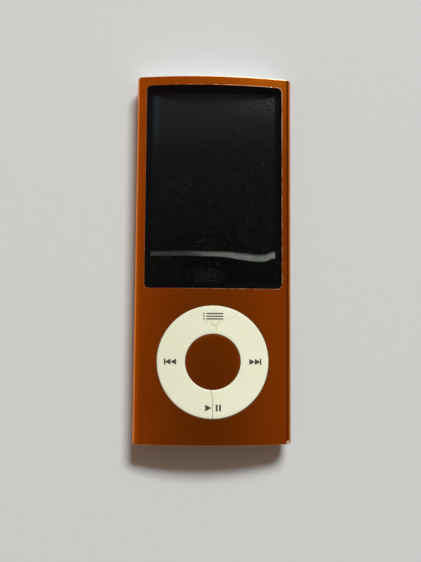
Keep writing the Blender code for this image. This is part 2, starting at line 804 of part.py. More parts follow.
def make_dock_contacts(finger_y, contact):
    """The contact fingers under the tongue, joined by the strip that bends to the board."""
    row_half = DOCK_PITCH * (DOCK_CONTACTS - 1) / 2 + DOCK_CONTACT_WIDTH / 2
    row_x = (DOCK_X - row_half, DOCK_X + row_half)
    finger_z = DOCK_CONTACT_Z
    tail_z = (FLEX_Z, FLEX_Z + DOCK_CONTACT_SHEET)
    bend_y = DOCK_Y[1] + GAP
    rear_y = bend_y + DOCK_CONTACT_SHEET
    outline = [
        (finger_y[1], finger_z[0]),
        (bend_y, finger_z[0]),
        (bend_y, tail_z[0]),
        (DOCK_TAIL_Y, tail_z[0]),
        (DOCK_TAIL_Y, tail_z[1]),
        (rear_y, tail_z[1]),
        (rear_y, finger_z[1]),
        (finger_y[1], finger_z[1]),
    ]
    trim = 0.01  # keeps a finger's faces off the strip's
    rings = [[(x, y, z) for y, z in outline] for x in row_x]
    strip = loft("dock_contacts", rings, contact)
    for index in range(DOCK_CONTACTS):
        x = row_x[0] + index * DOCK_PITCH
        finger = box(
            f"contact_{index + 1}",
            (x, x + DOCK_CONTACT_WIDTH),
            (finger_y[0], finger_y[1] + GAP),
            (finger_z[0] + trim, finger_z[1] - trim),
        )
        combine(strip, finger, "UNION")


def make_headphone_jack(black, contact):
    """The jack's barrel with its contact block, and the leaf spring behind it."""
    centre = (JACK_X, MID_Z)
    outline = circle(centre, JACK_RADIUS, JACK_SEGMENTS)
    barrel = end_plate("headphone_jack", outline, JACK_Y, black)
    block = end_plate(
        "jack_block",
        rectangle(
            (JACK_X - JACK_BLOCK_WIDTH, JACK_X),
            (MID_Z - JACK_BLOCK_HALF_HEIGHT, MID_Z + JACK_BLOCK_HALF_HEIGHT),
        ),
        (JACK_Y[0], CHASSIS_Y[0] - 3 * GAP),
    )
    combine(barrel, block, "UNION")
    bore_y = (JACK_Y[0] - THROUGH, JACK_Y[1] + THROUGH)
    bore = circle(centre, JACK_BORE_RADIUS, JACK_SEGMENTS)
    cut(barrel, end_plate("cut_jack_bore", bore, bore_y))

    outer_x = JACK_X + JACK_RADIUS
    spring_x = (outer_x, outer_x, outer_x - JACK_SPRING_BEND, outer_x - GAP)
    path = list(zip(spring_x, JACK_SPRING_Y))
    spring_z = (MID_Z - JACK_SPRING_HALF_WIDTH, MID_Z + JACK_SPRING_HALF_WIDTH)
    plate("jack_tip_spring", ribbon_outline(path, DOCK_CONTACT_SHEET), spring_z, contact)


# ---------------------------------------------------------------- hold switch


def make_hold_switch(anodised, orange, black, steel):
    """The sliding knob in the top end, its marker, and the switch that it drives."""
    knob_left, knob_right = HOLD_KNOB_X
    flange_low, flange_high = HOLD_FLANGE_Y
    origin = ((knob_left + knob_right) / 2, CAP_OUTER_Y, MID_Z)
    knob_y = (flange_high - GAP, CAP_OUTER_Y)
    knob_outline = rounded_rectangle(HOLD_KNOB_X, HOLD_KNOB_Z, 0.6, 4)
    slider = end_plate("hold_slider", knob_outline, knob_y, anodised, origin)
    cover = HOLD_TRAVEL + 3 * GAP
    flange_x = (knob_left - cover, knob_right + cover)
    combine(slider, box("slider_flange", flange_x, HOLD_FLANGE_Y, HOLD_FLANGE_Z), "UNION")
    for side in (-1, 1):
        tine_x = HOLD_LEVER_X + side * HOLD_TINE_OFFSET
        tine = box(
            f"slider_tine_{side}",
            (tine_x - HOLD_TINE_HALF_WIDTH, tine_x + HOLD_TINE_HALF_WIDTH),
            (HOLD_TINE_Y, flange_low + GAP),
            (HOLD_LEVER_Z[0] - SEAM, HOLD_LEVER_Z[1] + SEAM),
        )
        combine(slider, tine, "UNION")

    mark_x = (knob_left - HOLD_TRAVEL + GAP, knob_left - GAP)
    mark_y = (flange_high + MARKER_SHEET / 3, flange_high + MARKER_SHEET)
    mark_z = (HOLD_KNOB_Z[0] + SEAM, HOLD_KNOB_Z[1] - SEAM)
    box("hold_marker", mark_x, mark_y, mark_z, orange, origin)

    lever_x = (HOLD_LEVER_X - HOLD_LEVER_HALF_WIDTH, HOLD_LEVER_X + HOLD_LEVER_HALF_WIDTH)
    box("hold_switch_lever", lever_x, HOLD_LEVER_Y, HOLD_LEVER_Z, black, origin)
    body = box("hold_switch_body", HOLD_BODY_X, HOLD_BODY_Y, HOLD_BODY_Z, steel)
    slot_x = (lever_x[0] - GAP, lever_x[1] + HOLD_TRAVEL + GAP)
    slot_y = (HOLD_LEVER_Y[0] - GAP, HOLD_BODY_Y[1] + THROUGH)
    slot_z = (HOLD_LEVER_Z[0] - GAP, HOLD_BODY_Z[1] + THROUGH)
    cut(body, box("cut_lever_slot", slot_x, slot_y, slot_z))


# ---------------------------------------------------------------- battery


def make_battery(foil, foam, board, flex):
    """The pouch cell on its foam pad, with its protection board and lead."""
    half = BATTERY_HALF_WIDTH
    low, high = BATTERY_Z
    rings = []
    edge = BATTERY_EDGE
    for z, inset in ((low, edge), (low + edge, 0), (high - edge, 0), (high, edge)):
        outline = rounded_rectangle(
            (-half + inset, half - inset), (BATTERY_Y[0] + inset, BATTERY_Y[1] - inset), 1.5, 3
        )
        rings.append([(x, y, z) for x, y in outline])
    loft("battery_cell", rings, foil)
    foam_z = (FOAM_BOTTOM_Z, low - GAP)
    box("battery_foam_pad", (-FOAM_HALF_WIDTH, FOAM_HALF_WIDTH), FOAM_Y, foam_z, foam)
    guard_top = BATTERY_Y[0] - 2 * GAP
    guard_y = (guard_top - GUARD_BOARD_DEPTH, guard_top)
    guard_x = (-GUARD_BOARD_HALF_WIDTH, GUARD_BOARD_HALF_WIDTH)
    box("battery_protection_board", guard_x, guard_y, GUARD_BOARD_Z, board)
    guard_mid_z = sum(GUARD_BOARD_Z) / 2
    drop_y = guard_y[0] - GAP - BATTERY_LEAD_DROP
    ribbon(
        "battery_lead",
        (
            (guard_y[0] - GAP, guard_mid_z),
            (drop_y, guard_mid_z),
            (drop_y, FLEX_MID_Z),
            (BATTERY_LEAD_END_Y, FLEX_MID_Z),
        ),
        BATTERY_LEAD_X,
        flex,
    )


def build_player():
    anodised = material("orange anodised aluminium", (0.30, 0.065, 0.004), 0.38, 0.9)
    cap = material("satin aluminium end cap", (0.52, 0.52, 0.50), 0.35, 0.9)
    glass = material("dark cover glass", (0.004, 0.005, 0.007), 0.06, 0.0)
    black = material("black plastic", (0.01, 0.01, 0.011), 0.5, 0.0)
    cream = material("cream plastic", (0.79, 0.77, 0.60), 0.35, 0.0)
    panel = material("unlit display", (0.012, 0.015, 0.012), 0.15, 0.0)
    clear = material("acrylic light guide", (0.75, 0.8, 0.8), 0.1, 0.0)
    steel = material("stamped steel", (0.6, 0.6, 0.6), 0.3, 1.0)
    contact = material("gold plated contact", (0.8, 0.55, 0.2), 0.25, 1.0)
    board = material("green circuit board", (0.02, 0.12, 0.05), 0.5, 0.0)
    flex = material("amber flex circuit", (0.45, 0.2, 0.03), 0.4, 0.0)
    chip = material("chip package", (0.02, 0.02, 0.022), 0.6, 0.0)
    foil = material("battery foil", (0.55, 0.56, 0.58), 0.35, 0.8)
    foam = material("grey foam", (0.12, 0.12, 0.12), 0.95, 0.0)
    moulded = material("grey moulded plastic", (0.09, 0.09, 0.1), 0.55, 0.0)
    marker = material("hold marker paint", (0.9, 0.2, 0.02), 0.5, 0.0)

    make_case_tube(anodised)
    make_end_caps(cap)
    make_display(glass, black, panel, clear, steel, flex)
    make_chassis(moulded)
    make_main_board(board, flex, steel)
    make_chips(chip, steel)
    make_sound_and_camera(steel, black, glass)
    make_wheel(cream, anodised, board, steel)
    make_dock_connector(steel, black, contact)
    make_headphone_jack(black, contact)
    make_hold_switch(cap, marker, black, steel)
    make_battery(foil, foam, board, flex)


for old in list(bpy.data.objects):
    bpy.data.objects.remove(old)
build_player()
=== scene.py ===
"""Looks for a slim pocket digital audio player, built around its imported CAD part.

The frame is the part's own: +X across the player, +Y towards the end with the hold switch, +Z out
of the screen, and the origin on the surface that it lies on. Dimensions are in millimetres and
become metres when a mesh is made.
"""

import json
import math
from collections import namedtuple

import bmesh
import bpy
from mathutils import Matrix, Vector


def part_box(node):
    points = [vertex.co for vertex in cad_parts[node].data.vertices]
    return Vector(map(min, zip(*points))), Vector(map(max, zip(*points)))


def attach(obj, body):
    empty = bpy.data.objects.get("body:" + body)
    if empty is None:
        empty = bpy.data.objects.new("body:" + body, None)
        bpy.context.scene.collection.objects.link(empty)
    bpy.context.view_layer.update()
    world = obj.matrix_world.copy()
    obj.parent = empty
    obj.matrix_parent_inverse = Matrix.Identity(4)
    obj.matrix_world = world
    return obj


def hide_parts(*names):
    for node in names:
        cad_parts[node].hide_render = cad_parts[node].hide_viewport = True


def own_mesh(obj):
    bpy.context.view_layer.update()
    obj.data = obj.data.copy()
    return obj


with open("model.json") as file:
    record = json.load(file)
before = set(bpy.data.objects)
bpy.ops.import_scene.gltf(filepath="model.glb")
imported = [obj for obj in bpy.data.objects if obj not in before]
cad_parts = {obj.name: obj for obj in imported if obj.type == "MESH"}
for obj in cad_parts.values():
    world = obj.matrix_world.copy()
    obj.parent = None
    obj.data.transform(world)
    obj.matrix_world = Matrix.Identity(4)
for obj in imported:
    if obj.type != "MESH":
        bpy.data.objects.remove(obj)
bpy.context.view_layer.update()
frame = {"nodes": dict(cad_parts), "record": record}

MM = 0.001


def node_box(name):
    """A CAD node's lowest and highest corners, in millimetres."""
    low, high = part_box(name)
    return low / MM, high / MM


# The case: wide arcs front and back, tight arcs at the sides.
CASE_LOW, CASE_HIGH = node_box("case_tube")
LENGTH = CASE_HIGH.y - CASE_LOW.y
WIDTH = 38.7
THICKNESS = 6.2
CROWN_RADIUS = 112.0
WALL = 0.45
RECESS = 0.04
GAP = 0.1
SEAM = 0.06
SIDE_RADIUS = (
    CROWN_RADIUS**2 - (WIDTH / 2) ** 2 - (CROWN_RADIUS - THICKNESS / 2) ** 2
) / (2 * CROWN_RADIUS - WIDTH)
SIDE_X = WIDTH / 2 - SIDE_RADIUS
TANGENT_DEG = math.degrees(math.atan2(SIDE_X, CROWN_RADIUS - THICKNESS / 2))
MID_Z = THICKNESS / 2
CROWN_SEGMENTS = 60
SIDE_SEGMENTS = 26
END_ROUNDING = 0.20
RIM_ROUNDING = 0.06
FINE_ROUNDING = 0.05
SMALL_ROUNDING = 0.08  # the caps and the small openings
THROUGH = 1.0  # how far a cutting tool reaches past what it cuts
SLIVER = 2e-7  # in metres: edges shorter than this are dissolved after a Boolean
SHARP_DEG = 40

# End caps.
CAP_OUTER_Y = LENGTH / 2 - GAP
CAP_DEPTH = 1.05
CAP_INNER_Y = CAP_OUTER_Y - CAP_DEPTH
CAP_INSET = WALL + SEAM

# Window, glass and display.
WINDOW_HALF_WIDTH = 16.91
WINDOW_TOP_Y = 43.03
WINDOW_BOTTOM_Y = -7.66
WINDOW_MID_Y = (WINDOW_TOP_Y + WINDOW_BOTTOM_Y) / 2
WINDOW_HALF_HEIGHT = (WINDOW_TOP_Y - WINDOW_BOTTOM_Y) / 2
WINDOW_CORNER = 1.2
WINDOW_SIDE_STEPS = 28
GLASS_ROUNDING = 0.12
GLASS_LIP = 0.6
GLASS_DEPTH = 1.2
GLASS_BOTTOM_Z = 4.0
IMAGE_HALF_HEIGHT = 23.83

# Control wheel and centre button.
WHEEL_Y = -25.44
WHEEL_RADIUS = 13.57
WHEEL_HOLE_RADIUS = WHEEL_RADIUS + 0.12
WHEEL_INNER_RADIUS = 6.72
WHEEL_ROUNDING = 0.13
ROUND_SEGMENTS = 144
WHEEL_LIP_RADIUS = 14.0
WHEEL_LIP_DEPTH = 0.95
WHEEL_BOTTOM_Z = 3.95
BUTTON_RADIUS = 6.62
BUTTON_LIP_RADIUS = 7.2
BUTTON_LIP_Z = (3.45, 3.75)
BUTTON_NUB_RADIUS = 1.5
BUTTON_NUB_Z = 3.4
DOME_SHEET = 0.08

# Printed symbols, measured from the wheel's centre.
INK_HEIGHT = 0.01
INK_EASE = 0.04
ROW_MIDDLES = (10.35, 11.0, 11.65)
ROW_HALF_HEIGHT = 0.15
ROW_DOT_X = (-2.45, -2.05)
ROW_BAR_X = (-1.65, 2.45)
SKIP_BASES = (8.85, 10.2)
SKIP_LENGTH = 1.35
SKIP_BAR_X = (11.45, 11.8)
SKIP_HALF_HEIGHT = 0.73
PLAY_X = (-1.77, -0.30)
PLAY_Y = -10.95
PLAY_HALF_HEIGHT = 0.8
PAUSE_BARS_X = (0.77, 1.56)
PAUSE_BAR_WIDTH = 0.45

# Camera window and microphone in the back.
CAMERA_XY = (10.0, -27.0)
CAMERA_WINDOW_RADIUS = 2.5
MICROPHONE_XY = (8.6, -32.3)
MICROPHONE_HOLE_RADIUS = 0.4
LENS_HOLE_ROUNDING = 0.1

# Openings in the ends.
DOCK_X = -3.8
DOCK_HALF_WIDTH = 11.2
DOCK_HALF_HEIGHT = 1.3
DOCK_CORNER = 0.6
JACK_X = 12.6
JACK_BORE_RADIUS = 1.775
JACK_ROUNDING = 0.15
JACK_RELIEF_RADIUS = 1.98
JACK_RELIEF_Y = -34.6
HOLD_KNOB_X = (-13.0, -8.0)
HOLD_KNOB_Z = (2.4, 3.8)
HOLD_SLOT_CORNER = 0.7
HOLD_TRAVEL = 2.0

# The floor and the room. Directions are seen from the player.
FLOOR_RADIUS = 9000.0
FLOOR_Z = -0.02
KEY_DIRECTION = (0.5, 1.475, 1.0)
KEY_DISTANCE = 7000.0
KEY_SIZE = (3030.0, 1200.0)
KEY_WATTS = 652.0
KEY_COLOUR = (0.955, 1.0, 1.035)
GLOW_NARROWNESS = 24.0
GLOW_STRENGTH = 1.3
DARKEST_DIRECTION = (0.0, -0.2, 0.98)

# The camera: its lens, its place, and its turn from looking straight down.
LENS = 32.614
CAMERA_PLACE = (-4.645, -13.419, 129.627)
CAMERA_TURN_DEG = (3.47, -1.835, 0.497)


# ---------------- outlines


def arc(centre, radius, start_deg, end_deg, segments):
    """Points on a circle from one angle to another, both ends included."""
    angles = [
        math.radians(start_deg + (end_deg - start_deg) * step / segments)
        for step in range(segments + 1)
    ]
    return [
        (centre[0] + radius * math.cos(angle), centre[1] + radius * math.sin(angle))
        for angle in angles
    ]


def circle(centre, radius, segments=64):
    return arc(centre, radius, 0, 360, segments)[:-1]


def rounded_rectangle(x_range, y_range, radius, segments=8):
    (x0, x1), (y0, y1) = x_range, y_range
    corners = (
        ((x1 - radius, y0 + radius), -90),
        ((x1 - radius, y1 - radius), 0),
        ((x0 + radius, y1 - radius), 90),
        ((x0 + radius, y0 + radius), 180),
    )
    points = []
    for centre, start in corners:
        points += arc(centre, radius, start, start + 90, segments)
    return points


def case_outline(inset):
    """The case's cross-section as (x, z) points, moved inwards by inset."""
    crown = CROWN_RADIUS - inset
    side = SIDE_RADIUS - inset
    tilt = TANGENT_DEG
    front = arc((0, THICKNESS - CROWN_RADIUS), crown, 90 + tilt, 90 - tilt, CROWN_SEGMENTS)
    right = arc((SIDE_X, MID_Z), side, 90 - tilt, tilt - 90, SIDE_SEGMENTS)
    back = arc((0, CROWN_RADIUS), crown, tilt - 90, -90 - tilt, CROWN_SEGMENTS)
    left = arc((-SIDE_X, MID_Z), side, -90 - tilt, tilt - 270, SIDE_SEGMENTS)
    return front + right[1:] + back[1:] + left[1:-1]


def front_z(x, depth):
    """Height of the surface that lies depth below the front's crown."""
    return THICKNESS - CROWN_RADIUS + math.sqrt((CROWN_RADIUS - depth) ** 2 - x**2)


def window_outline(margin):
    """The window's outline, grown by a margin, or shrunk by a negative one.

    Its straight sides are cut into short steps, so that it can be laid on the crown.
    """
    half = WINDOW_HALF_WIDTH + margin
    corners = rounded_rectangle(
        (-half, half),
        (WINDOW_BOTTOM_Y - margin, WINDOW_TOP_Y + margin),
        WINDOW_CORNER + margin,
    )
    points = []
    for start, end in zip(corners, corners[1:] + corners[:1]):
        steps = WINDOW_SIDE_STEPS if math.dist(start, end) > 2 * WINDOW_CORNER else 1
        for step in range(steps):
            share = step / steps
            points.append(tuple(a + (b - a) * share for a, b in zip(start, end)))
    return points


def slot_outline(x_range, z_range, corner):
    """An outline that grows by the margin it is asked for."""
    (x0, x1), (z0, z1) = x_range, z_range
    return lambda margin: rounded_rectangle(
        (x0 - margin, x1 + margin), (z0 - margin, z1 + margin), corner + margin, 6
    )


def round_outline(centre, radius, segments=64):
    return lambda margin: circle(centre, radius + margin, segments)


# ---------------- meshes

# Where a rim lies: surface(point, depth) is a point's place below the face, flat(point, level) is
# its place at a level, and inner and outer are levels clear of the wall on both sides.
Face = namedtuple("Face", "surface flat inner outer")
FRONT = Face(
    lambda p, depth: (p[0], p[1], front_z(p[0], depth)),
    lambda p, level: (p[0], p[1], level),
    MID_Z,
    THICKNESS + THROUGH,
)
BACK = Face(
    lambda p, depth: (p[0], p[1], THICKNESS - front_z(p[0], depth)),
    FRONT.flat,
    MID_Z,
    -THROUGH,
)
TOP_END = Face(
    lambda p, depth: (p[0], CAP_OUTER_Y - depth, p[1]),
    lambda p, level: (p[0], level, p[1]),
    CAP_INNER_Y - THROUGH,
    CAP_OUTER_Y + THROUGH,
)
BOTTOM_END = Face(
    lambda p, depth: (p[0], depth - CAP_OUTER_Y, p[1]),
    TOP_END.flat,
    THROUGH - CAP_INNER_Y,
    -CAP_OUTER_Y - THROUGH,
)


def add_object(name, build):
    """Make an object from a bmesh in millimetres."""
    bmesh.ops.recalc_face_normals(build, faces=build.faces)
    if build.calc_volume(signed=True) < 0:
        bmesh.ops.reverse_faces(build, faces=build.faces)
    bmesh.ops.scale(build, verts=build.verts, vec=(MM, MM, MM))
    mesh = bpy.data.meshes.new(name)
    build.to_mesh(mesh)
    build.free()
    made = bpy.data.objects.new(name, mesh)
    bpy.context.scene.collection.objects.link(made)
    return made


def add_skin(build, rings):
    """Add a skin through rings of 3-D points with the same count, closed by flat ends."""
    loops = [[build.verts.new(point) for point in ring] for ring in rings]
    for lower, upper in zip(loops, loops[1:]):
        for index in range(len(lower)):
            following = (index + 1) % len(lower)
            build.faces.new((lower[index], lower[following], upper[following], upper[index]))
    build.faces.new(loops[0][::-1])
    build.faces.new(loops[-1])


def loft(name, rings):
    """A solid through rings of points."""
    build = bmesh.new()
    add_skin(build, rings)
    return add_object(name, build)


def case_prism(name, stations):
    """The case's section drawn along Y through (y, inset) stations."""
    return loft(name, [[(x, y, z) for x, z in case_outline(inset)] for y, inset in stations])


def quarter_round(radius, steps=4):
    """(inset, drop) pairs around a convex edge: from the face, where the drop is 0, to the side."""
    angles = [math.pi / 2 * step / steps for step in range(steps + 1)]
    return [(radius * (1 - math.sin(a)), radius * (1 - math.cos(a))) for a in angles]


def rim_tool(name, outline_at, face, rounding, grows=1):
    """A tool whose wall follows an outline and rounds off as it reaches a face.

    One that grows by its rounding opens a hole, and one that shrinks (grows = -1) keeps a plug.
    """
    rings = [[face.flat(p, face.inner) for p in outline_at(0)]]
    clear = 0.05  # how far above the face the tool's flare ends
    for turn in map(math.radians, (0.0, 22.5, 45.0, 67.5)):
        margin = rounding * (1 - math.cos(turn))
        depth = rounding * (1 - math.sin(turn))
        rings.append([face.surface(p, depth) for p in outline_at(grows * margin)])
    flare = margin + (depth + clear) * math.tan(turn)
    rings.append([face.surface(p, -clear) for p in outline_at(grows * flare)])
    rings.append([face.flat(p, face.outer) for p in outline_at(grows * flare)])
    return loft(name, rings)


def carve(target, *steps):
    """Apply Booleans to a target: (operation, tool) pairs, in order. The tools are used up."""
    for operation, tool in steps:
        modifier = target.modifiers.new(tool.name, "BOOLEAN")
        modifier.operation = operation
        modifier.solver = "EXACT"
        modifier.object = tool
    bpy.context.view_layer.update()
    graph = bpy.context.evaluated_depsgraph_get()
    carved = bpy.data.meshes.new_from_object(target.evaluated_get(graph))
    target.modifiers.clear()
    clean = bmesh.new()
    clean.from_mesh(carved)
    bmesh.ops.dissolve_degenerate(clean, edges=clean.edges, dist=SLIVER)
    clean.to_mesh(carved)
    clean.free()
    target.data = carved
    for _, tool in steps:
        bpy.data.objects.remove(tool)


def bore(*tools):
    return [("DIFFERENCE", tool) for tool in tools]


def finish_piece(piece, body, slot, *nodes, finish=None):
    """Shade a piece smoothly across its rounded edges, tie it to its body, and hide the CAD nodes
    it stands for.

    It gets its slot's finish, unless it names another.
    """
    mesh = piece.data
    mesh.materials.clear()
    mesh.materials.append(FINISHES[finish or slot])
    mesh.shade_smooth()
    mesh.set_sharp_from_angle(angle=math.radians(SHARP_DEG))
    weighted = piece.modifiers.new("weighted_normals", "WEIGHTED_NORMAL")
    weighted.mode = "FACE_AREA"
    weighted.weight = 100
    weighted.keep_sharp = True
    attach(piece, body)
    if nodes:
        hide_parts(*nodes)


def turned(name, profile, centre, segments=ROUND_SEGMENTS):
    """A piece turned about a vertical axis, from (radius, height) points.

    A height is a number or a function of x that follows the crown. A profile that starts and ends
    on the axis makes a solid disc, and one that doesn't is closed into a ring.
    """
    build = bmesh.new()
    loops = []
    for radius, height in profile:
        loop = []
        for x, y in circle(centre, radius, segments) if radius else [centre]:
            loop.append(build.verts.new((x, y, height(x) if callable(height) else height)))
        loops.append(loop)
    pairs = list(zip(loops, loops[1:]))
    if len(loops[0]) > 1:
        pairs.append((loops[-1], loops[0]))
    for first, second in pairs:
        for index in range(segments):
            following = (index + 1) % segments
            corners = (
                first[index % len(first)],
                first[following % len(first)],
                second[following % len(second)],
                second[index % len(second)],
            )
            build.faces.new(list(dict.fromkeys(corners)))
    return add_object(name, build)


def under_front(depth):
    return lambda x: front_z(x, depth)


def inside_back(depth):
    return lambda x: THICKNESS - front_z(x, depth)


# ---------------- materials


class Nodes:
    """A tree of shader nodes, and short ways to build it."""

    def __init__(self, tree):
        self.tree = tree

    def add(self, kind, **settings):
        node = self.tree.nodes.new("ShaderNode" + kind)
        for key, value in settings.items():
            setattr(node, key, value)
        return node

    def feed(self, socket, value):
        """Give a socket a value, a colour or another node's output."""
        if isinstance(value, bpy.types.NodeSocket):
            self.tree.links.new(value, socket)
        elif isinstance(value, tuple) and len(value) == 3 and socket.type == "RGBA":
            socket.default_value = (*value, 1.0)
        else:
            socket.default_value = value

    def math(self, operation, *values):
        node = self.add("Math", operation=operation)
        for socket, value in zip(node.inputs, values):
            self.feed(socket, value)
        return node.outputs[0]

    def chain(self, operation, *values):
        """Values joined by one operation, from the first to the last."""
        result = values[0]
        for value in values[1:]:
            result = self.math(operation, result, value)
        return result

    def times(self, *values):
        return self.chain("MULTIPLY", *values)

    def plus(self, *values):
        return self.chain("ADD", *values)

    def highest(self, *values):
        return self.chain("MAXIMUM", *values)

    def minus(self, first, second):
        return self.math("SUBTRACT", first, second)

    def absolute(self, value):
        return self.math("ABSOLUTE", value)

    def length(self, x, y):
        return self.math("SQRT", self.plus(self.times(x, x), self.times(y, y)))

    def fade(self, value, start, end):
        """0 at start and 1 at end, smooth between."""
        node = self.add("MapRange", interpolation_type="SMOOTHSTEP")
        rising = start < end
        places = (min(start, end), max(start, end), float(not rising), float(rising))
        for socket, number in zip(node.inputs, (value, *places)):
            self.feed(socket, number)
        return node.outputs[0]

    def spread(self, value, low, high):
        """Noise around 0.5 taken to a range."""
        node = self.add("MapRange")
        for socket, number in zip(node.inputs, (value, 0.25, 0.75, low, high)):
            self.feed(socket, number)
        return node.outputs[0]

    def mix(self, share, first, second):
        node = self.add("Mix", data_type="RGBA")
        self.feed(node.inputs[0], share)
        self.feed(node.inputs[6], first)
        self.feed(node.inputs[7], second)
        return node.outputs[2]

    def tint(self, colour, shade, *shares):
        """A colour taken towards a shade by the product of the shares."""
        return self.mix(self.times(*shares), colour, shade)

    def blend(self, share, first, second):
        """A number between two others."""
        node = self.add("Mix", data_type="FLOAT")
        self.feed(node.inputs[0], share)
        self.feed(node.inputs[2], first)
        self.feed(node.inputs[3], second)
        return node.outputs[0]


class Finish(Nodes):
    """A procedural material. Places in it are millimetres on the object."""

    def __init__(self, name):
        self.material = bpy.data.materials.new(name)
        self.material.use_nodes = True
        super().__init__(self.material.node_tree)
        self.shader = self.tree.nodes["Principled BSDF"]
        self.output = self.tree.nodes["Material Output"]
        scale = self.add("VectorMath", operation="SCALE")
        self.feed(scale.inputs[0], self.add("TexCoord").outputs["Object"])
        self.feed(scale.inputs["Scale"], 1 / MM)
        self.place = scale.outputs[0]
        split = self.add("SeparateXYZ")
        self.feed(split.inputs[0], self.place)
        self.x, self.y, self.z = split.outputs

    def noise(self, per_mm, detail, stretch=(1.0, 1.0, 1.0), shift=0.0):
        """Smooth noise around 0.5, with about per_mm features to a millimetre."""
        mapping = self.add("Mapping")
        self.feed(mapping.inputs["Vector"], self.place)
        self.feed(mapping.inputs["Scale"], [per_mm * part for part in stretch])
        self.feed(mapping.inputs["Location"], (shift, shift, shift))
        node = self.add("TexNoise")
        self.feed(node.inputs["Vector"], mapping.outputs[0])
        self.feed(node.inputs["Scale"], 1.0)
        self.feed(node.inputs["Detail"], detail)
        return node.outputs["Fac"]

    def patches(self, start, end, *noise, **more):
        """Patches of noise: 0 where it is below start, and 1 where it is above end."""
        return self.fade(self.noise(*noise, **more), start, end)

    def specks(self, per_mm, radius, share):
        """Small spots, one in a share of the cells of a lattice. The radius is in cells."""
        node = self.add("TexVoronoi")
        self.feed(node.inputs["Vector"], self.place)
        self.feed(node.inputs["Scale"], per_mm)
        chance = self.add("SeparateColor")
        self.feed(chance.inputs[0], node.outputs["Color"])
        size = self.times(chance.outputs[1], radius)
        spot = self.math("LESS_THAN", node.outputs["Distance"], size)
        return self.times(spot, self.math("LESS_THAN", chance.outputs[0], share))

    def bump(self, height, depth_mm):
        node = self.add("Bump")
        self.feed(node.inputs["Height"], height)
        self.feed(node.inputs["Distance"], depth_mm * MM)
        return node.outputs[0]

    def set(self, **inputs):
        """Feed the shader's inputs, and give the material."""
        for name, value in inputs.items():
            title = name.replace("_", " ").title().replace("Ior", "IOR")
            self.feed(self.shader.inputs[title], value)
        return self.material

    def window_distance(self):
        """Distance outside the window's edge, seen from the front."""
        across = self.minus(self.absolute(self.x), WINDOW_HALF_WIDTH - WINDOW_CORNER)
        from_middle = self.absolute(self.minus(self.y, WINDOW_MID_Y))
        along = self.minus(from_middle, WINDOW_HALF_HEIGHT - WINDOW_CORNER)
        outside = self.length(self.highest(across, 0.0), self.highest(along, 0.0))
        inside = self.math("MINIMUM", self.highest(across, along), 0.0)
        return self.minus(self.plus(outside, inside), WINDOW_CORNER)

    def wheel_distance(self):
        """Distance from the wheel's centre."""
        return self.length(self.x, self.minus(self.y, WHEEL_Y))

    def segment_distance(self, start, end):
        """Distance in the XY plane from the straight line between two points on the wheel."""
        (x0, y0), (x1, y1) = start, end
        dx, dy = x1 - x0, y1 - y0
        px = self.minus(self.x, x0)
        py = self.minus(self.y, y0 + WHEEL_Y)
        along = self.plus(self.times(px, dx), self.times(py, dy))
        along = self.math("DIVIDE", along, dx**2 + dy**2)
        along = self.math("MINIMUM", self.highest(along, 0.0), 1.0)
        return self.length(
            self.minus(px, self.times(along, dx)),
            self.minus(py, self.times(along, dy)),
        )


# Anodised surfaces: their usual and their deepest colour, and the range of their roughness.
DYED = ((0.90, 0.225, 0.008), (0.80, 0.18, 0.006))
DYED_ROUGH = (0.19, 0.22)
PLAIN = ((0.93, 0.93, 0.92), (0.84, 0.84, 0.83))
PLAIN_ROUGH = (0.24, 0.30)
# Bare metal, also laid on the case's edges as painted highlight lines.
BARE_METAL_AND_HIGHLIGHT = (0.70, 0.56, 0.41)
# The dark matte colour of painted shade in the seams and on the shaded right flank.
SEAM_SHADE = (0.07, 0.030, 0.012)


def anodised(name, colours, rough_range, grain=1.0, wear_and_highlight=None, grime=None):
    """Anodised aluminium: fine grain, faint blotches, hairlines, bare edges partly painted as
    highlights, and painted seam shade.

    wear_and_highlight says how much bare metal a place shows and grime how much painted shade it
    has, from 0 to 1.
    """
    made = Finish(name)
    usual, deep = colours
    grit = made.noise(14.0, 2.0)
    colour = made.tint(usual, deep, made.patches(0.35, 0.65, 0.12, 4.0), 0.3)
    colour = made.tint(colour, deep, made.fade(grit, 0.45, 0.75), 0.25)
    hairline = made.patches(0.64, 0.72, 1.0, 2.0, (9.0, 0.35, 1.0))
    rough = made.plus(made.spread(made.noise(0.5, 3.0), *rough_range), made.times(hairline, -0.03))
    metallic = 1.0
    # Bare metal: partly real rubbing, partly painted highlight lines on the edges that face the
    # lamp.
    if wear_and_highlight is not None:
        worn_and_highlit = wear_and_highlight(made)
        colour = made.tint(colour, BARE_METAL_AND_HIGHLIGHT, worn_and_highlit)
        rough = made.blend(worn_and_highlit, rough, 0.5)
        metallic = made.blend(worn_and_highlit, metallic, 0.5)
    # Painted shade: a dark matte colour laid where grime asks, on the seams and the right flank.
    if grime is not None:
        painted_shade_share = grime(made)
        colour = made.tint(colour, SEAM_SHADE, painted_shade_share)
        rough = made.blend(painted_shade_share, rough, 0.75)
        metallic = made.blend(painted_shade_share, metallic, 0.0)
    return made.set(
        base_color=colour,
        metallic=metallic,
        roughness=rough,
        normal=made.bump(made.times(grit, grain), 0.0015),
    )


